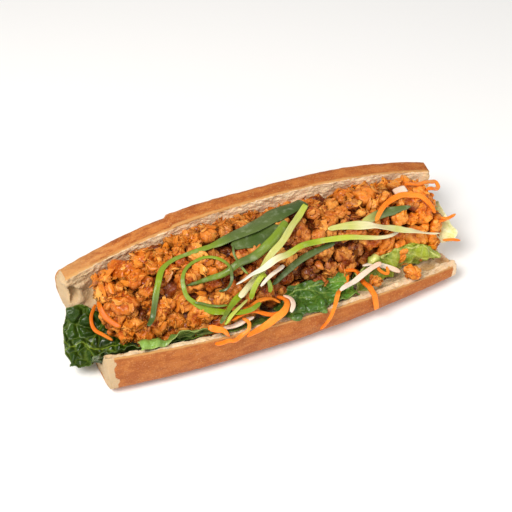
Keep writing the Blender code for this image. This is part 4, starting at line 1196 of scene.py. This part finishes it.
# Strips that lie on the filling: widths along the strip, thickness, and the route's points in plan
LYING = {
    "scallion_short": ((4, 6.5, 6, 2), 0.8, [(59.6, -5.1), (77.9, -2.6), (97.1, -3.3)]),
    "scallion_dark": (
        (2.5, 4.5, 4.5, 3), 0.8,
        [(-10.3, -20.2), (-1, -16.5), (12.6, -12.1), (24.9, -10.5), (38.4, -9.2)],
    ),
    "scallion_under": ((6, 12, 12, 6), 0.8, [(-28.4, 3.1), (-19.2, 3.9), (-7.4, 4), (6.1, 6.4)]),
    "scallion_blade": (
        (12, 14, 13.5, 9, 4, 2.8, 3.6, 4, 3.2), 0.8,
        [(30, 22.7), (9.9, 18), (-12.8, 10.9), (-32.8, 8.9), (-43.8, 8.5), (-56, 7.9), (-66.3, 7.1),
         (-74.1, 3.8), (-80.9, -5.5), (-89.1, -17.5), (-94.4, -23.4)],
    ),
    "scallion_wisp": ((1.6, 1.6), 0.8, [(-27.8, 2.7), (-29.5, -2.9), (-28.4, -8.3), (-25.2, -15.3)]),
    "scallion_tube": (
        (5.5, 6, 5, 4, 1.5), 3,
        [(11.3, 6.2), (-3.6, -4.2), (-20.7, -8.7), (-37, -11.3), (-52.3, -11), (-64.1, -10.7)],
    ),
    "daikon_left": ((2.6, 4.5, 2.6), 1.5, [(-51, -36.2), (-44, -37.3), (-35.8, -35.3), (-29.5, -34.6)]),
    "carrot_short": ((4.5, 3.9, 2), 1.8, [(-60.3, -36), (-55.7, -38.8), (-51.9, -40.4), (-50.1, -44.8)]),
    "carrot_hook": (
        (2.6, 2.6, 2.1), 1.6,
        [(-59.2, -42.3), (-54.8, -45.8), (-49, -47.7), (-41.6, -44), (-37.1, -43.6), (-34.8, -40.1),
         (-37.2, -35.1)],
    ),
    "carrot_cross": (
        (2.6, 3.1, 2.6), 1.6,
        [(-45.9, -36.7), (-35.4, -34.6), (-28.8, -34.7), (-18.1, -37.9), (-11.1, -37.6)],
    ),
    "carrot_arc": (
        (2.1, 3.1, 1.8), 1.6,
        [(-35.5, -31.2), (-24.7, -25.2), (-16.3, -23.4), (-9.8, -22.8), (-7, -25.9)],
    ),
    "carrot_loop": (
        (2.4, 4, 4.6, 4.4, 3.6, 2.4), 1.8,
        [(-38.8, -47.9), (-28.2, -43.8), (-20.1, -42.5), (-11.2, -39.5), (-6.3, -33.7), (-5.1, -26.2),
         (-8.3, -22.5)],
    ),
    "daikon_end": ((3.4, 3.6, 2.6), 1.4, [(-5.2, -26.2), (-2.3, -30.1), (-3, -36.5), (-6.9, -41.8)]),
    "scallion_ring": (
        (3, 4.5, 4.5, 3, 2.2, 2, 2, 1.6), 0.9,
        [(-23.9, -32.2), (-32.1, -35.5), (-40.7, -34.5), (-47.8, -28.5), (-56.9, -23.5), (-62.6, -19.9),
         (-66.3, -16.5), (-66.4, -10.4), (-64.4, -5.1), (-59.4, -0.7), (-54, 1.3), (-46.4, 2), (-40.2, -1.2),
         (-36.2, -7.9), (-36.1, -15.1), (-37.1, -17.5), (-40.8, -18.7), (-46.6, -17.8)],
    ),
    "scallion_thread": ((1.8, 1.8), 0.8, [(-62.8, -20.8), (-53.4, -24.4), (-43.2, -25.8)]),
    "scallion_light": ((2.5, 2.5), 0.8, [(-30.9, -27), (-40.3, -33.4), (-50.8, -39.7)]),
    "scallion_green": ((3, 4.5, 3), 0.8, [(-53.6, -39.7), (-43.2, -30.1), (-29.6, -20.8), (-19.5, -16.2)]),
    "scallion_fork": (
        (4, 4.5, 4.5, 4), 0.8,
        [(29.1, 16.5), (15.8, 4.6), (-1.3, -9.3), (-12.4, -13.9), (-23.9, -18.6), (-35.1, -25.8)],
    ),
    "scallion_loop": (
        (3.5, 3.5, 3), 0.8,
        [(-29.3, -29.6), (-25.5, -24.8), (-19.7, -20.5), (-15, -18.5), (-13.2, -21.2), (-13.7, -24.3),
         (-14.9, -25.4)],
    ),
    "daikon_sliver": ((2, 3.2), 1.2, [(-21.2, -26.4), (-8.4, -18.9), (-0.5, -14.8)]),
    "scallion_white": (
        (1.5, 4.5, 4, 4, 3, 1.2), 0.9,
        [(-35.5, -20.6), (-24.7, -18.1), (-13.4, -18.1), (-0.9, -15.5), (13.5, -9.5), (25.6, -8.8),
         (45.2, -9.7), (76.2, -14.6), (89, -10.8)],
    ),
    "scallion_pale": (
        (3, 6, 5, 4, 1.2), 0.8,
        [(36, -2.9), (50.9, -5), (67.6, -11), (86, -16.4), (110, -22.4)],
    ),
    "daikon_arch": ((2.6, 3.9, 3.2), 1.4, [(55, -19), (64, -20), (71, -24), (78, -30)]),
    "carrot_curl": ((2.1, 2.1), 1.4, [(65, -17), (64, -27), (68, -30), (70, -25)]),
    "daikon_front": ((2.6, 3.9, 3.2), 1.5, [(31, -35), (43, -29), (56, -25), (66, -24)]),
    "carrot_left": ((2.6, 3.9, 3.4), 1.8, [(-117.2, 7.7), (-116.5, -1.6), (-113, -7.7), (-108.9, -12.3)]),
    "daikon_pink": ((5.2, 6.5), 2, [(89.9, 8.2), (99.1, 8.3)]),
    "carrot_bow": (
        (2.6, 3.9, 3.9, 2.6), 1.8,
        [(67.6, -9.6), (72.9, -4.4), (81.2, 1.5), (89.3, 2.8), (98.6, 1.8), (106.5, -0.1), (109.9, -4.3),
         (111.1, -8.6), (110.7, -12.4)],
    ),
    "carrot_far": (
        (2.6, 3.1, 2.6), 1.8,
        [(100, 11.5), (108, 11), (116, 13), (124, 16), (129.5, 17.5), (128.5, 13), (122.5, 9), (116, 7.5)],
    ),
    "carrot_end": ((2.1, 2.1), 1.6, [(116.5, -10.5), (123, -10.2), (130.5, -8.5)]),
    "carrot_tip": ((2.1, 1.8), 1.4, [(118, -9), (121, -11.5), (126.5, -12)]),
    "carrot_drop": ((1.8, 1.8), 1.4, [(117, -17.3), (123, -20.5), (127, -23.5)]),
}

# Strips that hang over the low wall or stand clear: widths, thickness, then x, distance and height as
# for a leaf.
OVER_EDGE = {
    "carrot_hanging": (
        (2.3, 3.1, 1.8), 1.6, [(45, -17, 12), (40, -9, 8.5), (27, 1, 6), (18, 9, 4.4), (12, 16, 2.4)],
    ),
    "carrot_thick": (
        (2.9, 3.6, 3.6), 1.8, [(43, -16, 16.5), (49, -14, 15), (52, -4, 6), (52.5, 6, 2.6), (53.5, 14, 2)],
    ),
    "carrot_bottom": (
        (2.3, 2.6, 2.1), 1.6,
        [(-116, -73, 3.6), (-121, -64, 3.4), (-121, -54, 3.2), (-117, -48, 3.2), (-113, -42, 3.2)],
    ),
}

STRIP_LIFT = 1.8              # the clumps rise above the heap's packed outline, and the strips lie on them
STRIP_STEP = 0.8              # between the rings of a strip
STRIP_AROUND = 14
STRIP_TAPER = 3.2             # over which a strip narrows to its end

TONES = {
    "dark": (0.050, 0.088, 0.012),
    "dull": (0.100, 0.140, 0.032),
    "mid": (0.190, 0.270, 0.018),
    "bright": (0.240, 0.330, 0.006),
    "lime": (0.46, 0.52, 0.045),
    "pale": (0.56, 0.54, 0.15),
    "cream": (0.80, 0.70, 0.46),
    "white": (0.82, 0.79, 0.68),
    "orange": (0.86, 0.205, 0.014),
    "deep": (0.62, 0.15, 0.004),
    "light": (0.92, 0.30, 0.035),
    "root": (0.82, 0.70, 0.57),
    "pink": (0.78, 0.52, 0.38),
}

# How each strip looks: its tips' shares of its width, its tones from the first end to the last, and its
# cup where its section is curved
STRIP_STYLES = {
    "scallion_short": ((0.2, 0.2), "pale dull dull", -0.1),
    "scallion_dark": ((0.2, 0.4), "dark dull dark", -0.1),
    "scallion_under": ((0.5, 0.5), "dull dark dull", -0.08),
    "scallion_blade": ((0.95, 0.6), "dark dark dull dull dull mid mid mid bright dull dark", -0.12),
    "scallion_wisp": ((0.6, 0.4), "dull mid"),
    "scallion_tube": ((0.8, 0.1), "mid mid dull mid dark"),
    "scallion_ring": ((0.5, 0.4), "mid bright bright bright mid mid bright dull dark", 0.12),
    "scallion_thread": ((0.5, 0.5), "dull mid"),
    "scallion_fork": ((0.8, 0.5), "lime pale pale pale cream", 0.1),
    "scallion_light": ((0.4, 0.4), "pale lime"),
    "scallion_green": ((0.3, 0.5), "dull bright lime", 0.1),
    "scallion_white": ((0.1, 0.2), "white white cream lime bright lime lime pale cream white", 0.12),
    "scallion_pale": ((0.3, 0.1), "pale pale cream pale cream cream", 0.08),
    "scallion_loop": ((0.5, 0.5), "bright lime bright", 0.1),
    "carrot_left": ((0.6, 0.5), "deep deep"),
    "carrot_bottom": ((0.6, 0.4), "deep orange light"),
    "carrot_short": ((0.5, 0.3), "orange light orange"),
    "carrot_hook": ((0.5, 0.5), "orange light light"),
    "carrot_cross": ((0.5, 0.5), "deep orange orange"),
    "carrot_arc": ((0.4, 0.4), "orange light light"),
    "carrot_loop": ((0.4, 0.4), "orange light light orange"),
    "carrot_hanging": ((0.5, 0.2), "orange light orange"),
    "carrot_thick": ((0.6, 0.8), "orange orange light"),
    "carrot_curl": ((0.5, 0.5), "deep light"),
    "carrot_bow": ((0.15, 0.5), "light orange light orange"),
    "carrot_far": ((0.5, 0.5), "orange light light orange"),
    "carrot_end": ((0.5, 0.3), "orange light"),
    "carrot_tip": ((0.4, 0.2), "light orange"),
    "carrot_drop": ((0.4, 0.2), "light orange"),
    "daikon_sliver": ((0.3, 0.5), "root root"),
    "daikon_left": ((0.3, 0.3), "pink root root"),
    "daikon_end": ((0.4, 0.6), "pink root"),
    "daikon_arch": ((0.3, 0.4), "root root pink"),
    "daikon_front": ((0.6, 0.5), "root root pink"),
    "daikon_pink": ((0.8, 0.8), "pink root"),
}


def profile_of(name):
    """A strip's section as points in half widths and half thicknesses: a blade, a tube or a cut stick."""
    blade, tube, stick = (0.8, 0.7), (1.0, 1.0), (0.45, 0.45)
    powers = tube if name == "scallion_tube" else blade if name.startswith("scallion") else stick
    turn = np.linspace(0, 2 * math.pi, STRIP_AROUND, endpoint=False)
    sides = np.cos(turn), np.sin(turn)
    return [np.sign(side) * np.abs(side) ** power for side, power in zip(sides, powers)]


def smoothed(values, reach):
    """Rows of values, each averaged with its neighbours up to this many rows away."""
    padded = np.pad(values, ((reach, reach), (0, 0)), mode="reflect", reflect_type="odd")
    weights = np.hanning(2 * reach + 3)[1:-1]
    weights /= weights.sum()
    return np.stack([np.convolve(column, weights, mode="valid") for column in padded.T], axis=1)


def strip_top(name, path):
    """Height and slope of the CAD strip's top under each place of a path."""
    margin = max(2, len(path) // 20)
    found = enumerate(drop_on(name, path[margin:-margin]), margin)
    hits = np.array([(k, hit.z / MM, *normal) for k, (hit, normal) in found if hit and normal.z > 0.3])
    surface = smoothed(rows_at(np.arange(len(path)), hits[:, 0], hits[:, 1:]), 5)
    return surface[:, :1], surface[:, 1:]


def strip_line(name, thickness, route):
    """Centres, sideways and upward directions along a strip."""
    if name in OVER_EDGE:
        places = smooth_curve(route, 40)
        rough, above = (np.array([on_carrier(x, past, lift + more) for x, past, lift in places])
                        for more in (0, 1))
        count = int(run_of(rough)[-1] / STRIP_STEP) + 2
        centre = smooth_curve(rough, count)
        up = rows_at(even(count), even(40), above - rough)
    else:
        path = smooth_curve(route, int(run_of(route)[-1] / STRIP_STEP) + 2)
        top, up = strip_top(name, path)
        centre = np.concatenate([path, top + STRIP_LIFT], axis=1) - up / up[:, 2:] * thickness / 2
    forward = np.gradient(centre, axis=0)
    side = unit(np.cross(up, forward))
    return centre, side, unit(np.cross(forward, side))


def add_strip(name, seed):
    """A strip along its route, coloured by its tones from its first end to its last."""
    widths, thickness, route = {**LYING, **OVER_EDGE}[name]
    tips, tones, *cup = STRIP_STYLES[name]
    centre, side, up = strip_line(name, thickness, route)
    run = run_of(centre)
    share = run / run[-1]
    to_end = np.where(share < 0.5, run, run[-1] - run)
    half = np.interp(share, even(len(widths)), widths) / 2
    half *= 1 + 0.07 * line_noise(run / 6, seed)
    for end, tip in ((run, tips[0]), (run[-1] - run, tips[1])):
        half *= tip + (1 - tip) * np.sqrt(ease(end, -0.2, STRIP_TAPER))
    thick = thickness / 2 * 0.92 * (0.6 + 0.4 * ease(to_end, 0, 1.5))
    across, rise = profile_of(name)
    sag = sum(cup) * (across**2 - 0.4)
    points = (centre[:, None] + side[:, None] * (half[:, None] * across)[..., None]
              + up[:, None] * (thick[:, None] * rise + half[:, None] * sag)[..., None])
    flat = points.reshape(-1, 3)
    index, faces = tube_faces(len(centre), STRIP_AROUND)
    faces = facing(flat, faces, (points - centre[:, None]).reshape(-1, 3))
    tones = [TONES[tone] for tone in tones.split()]
    colours = rows_at(share, even(len(tones)), tones).repeat(STRIP_AROUND, axis=0)
    values = {"run": np.repeat(run, STRIP_AROUND), "cross": (half[:, None] * across).ravel()}
    slot = name.split("_")[0]
    piece = add_piece(name + "_strip", flat, faces, STRIP_MATERIALS[slot], [name], slot, colours, values)
    close_ends(piece, index)
    CEILING.lower(under_strip(centre, side, up, half, thick))


def under_strip(centre, side, up, half, thick):
    """Places all over a strip's underside, close together."""
    across = np.linspace(-1, 1, 25)
    points = centre[:, None] + side[:, None] * (half[:, None] * across)[..., None]
    points = points - (up * thick[:, None])[:, None]
    return np.concatenate([points, (points[:-1] + points[1:]) / 2])


def scallion_material():
    """Fine lines along the strip, and a pale bloom in clouds."""
    looks = Looks("scallion", 0.38, 0.0, (0.8, 1.2, 0.4), 0.4)
    lines = looks.noise(looks.along_strip(0.05), 0.55, 3, 0.6)
    cloud = looks.noise(looks.place(), 5, 3)
    tint = looks.attribute("tint", "Color")
    colour = looks.mix(looks.between(lines, 0.4, 0.65, 0, 0.45), tint, (0.55, 0.70, 0.55), "MULTIPLY")
    colour = looks.mix(looks.between(cloud, 0.5, 0.75, 0, 0.22), colour, (0.55, 0.62, 0.42))
    return looks.finish(colour, lines, 0.16, 0.6, looks.between(cloud, 0.35, 0.65, 0.24, 0.45))


def root_material(name, roughness, subsurface, radius, deep):
    """Carrot or daikon: fine fibres along the strip."""
    looks = Looks(name, roughness, subsurface, radius, 0.15)
    lines = looks.noise(looks.along_strip(0.12), 0.7, 3, 0.6)
    tint = looks.attribute("tint", "Color")
    colour = looks.mix(looks.between(lines, 0.4, 0.7, 0, 0.5), tint, deep, "MULTIPLY")
    return looks.finish(colour, lines, 0.14, 0.5)


# ---- stage

CAMERA_AZIMUTH = 23.12
CAMERA_ELEVATION = 46.0
CAMERA_DISTANCE = 0.6667
CAMERA_TARGET = (-0.00577, 0.01758, 0.028)
CAMERA_LENS = 70.3125
FLOOR_REACH = 4.0
FLOOR_DROP = 0.0004           # keeps the floor clear of the loaf's underside


def add_object(name, data):
    made = bpy.data.objects.new(name, data)
    bpy.context.scene.collection.objects.link(made)
    return made


def add_floor():
    corners = [(x * FLOOR_REACH, y * FLOOR_REACH, 0) for x, y in ((-1, -1), (1, -1), (1, 1), (-1, 1))]
    mesh = bpy.data.meshes.new("floor")
    mesh.from_pydata(corners, [], [(0, 1, 2, 3)])
    looks = Looks("floor", 0.9, specular=0.1)
    looks.feed(looks.shader.inputs["Base Color"], (0.93, 0.93, 0.93))
    mesh.materials.append(looks.material)
    floor = add_object("floor", mesh)
    floor.location.z = -FLOOR_DROP


def add_light():
    """A bright, even room, with a soft lamp on the left and a weaker one in front on the right."""
    world = bpy.data.worlds.new("studio")
    world.use_nodes = True
    room = world.node_tree.nodes["Background"].inputs
    room["Color"].default_value = (1.0, 0.99, 0.97, 1)
    room["Strength"].default_value = 0.42
    bpy.context.scene.world = world
    bpy.context.scene.view_settings.view_transform = "Standard"
    for name, position, size, power, colour in (
        ("key", (-0.55, -0.25, 0.95), 0.5, 12.0, (1.0, 0.97, 0.93)),
        ("fill", (0.6, -0.8, 0.6), 0.9, 5.0, (1.0, 0.98, 0.96)),
    ):
        lamp = bpy.data.lights.new(name, "AREA")
        lamp.size = size
        lamp.energy = power
        lamp.color = colour
        holder = add_object(name, lamp)
        holder.location = position
        holder.rotation_euler = (Vector((0, 0, 0.03)) - Vector(position)).to_track_quat("-Z", "Y").to_euler()


def add_camera():
    """The view from the left of the low side, well above the loaf."""
    azimuth, elevation = math.radians(CAMERA_AZIMUTH), math.radians(CAMERA_ELEVATION)
    level = math.cos(elevation)
    back = Vector((-math.sin(azimuth) * level, -math.cos(azimuth) * level, math.sin(elevation)))
    lens = bpy.data.cameras.new("camera")
    lens.sensor_width = 36
    lens.lens = CAMERA_LENS
    camera = add_object("camera", lens)
    camera.location = Vector(CAMERA_TARGET) + back * CAMERA_DISTANCE
    camera.rotation_euler = back.to_track_quat("Z", "Y").to_euler()
    bpy.context.scene.camera = camera


# ---- all of it

CEILING = Ceiling()
COD = cod_material("cod", 0.25)
FLAKE = cod_material("cod_flake", 0.0)
LEAF = leaf_material()
STRIP_MATERIALS = {
    "scallion": scallion_material(),
    "carrot": root_material("carrot", 0.32, 0.25, (1.5, 0.5, 0.15), (0.85, 0.6, 0.5)),
    "daikon": root_material("daikon", 0.28, 0.4, (1.5, 1.2, 1.0), (0.9, 0.85, 0.8)),
}
add_camera()
add_floor()
add_light()
add_bread()
for seed_number, node_name in enumerate(STRIP_STYLES, 200):
    add_strip(node_name, seed_number)
for leaf_number, node_name in enumerate(LEAF_LOOKS):
    add_lettuce(node_name, 300 + 60 * leaf_number)
add_cod()
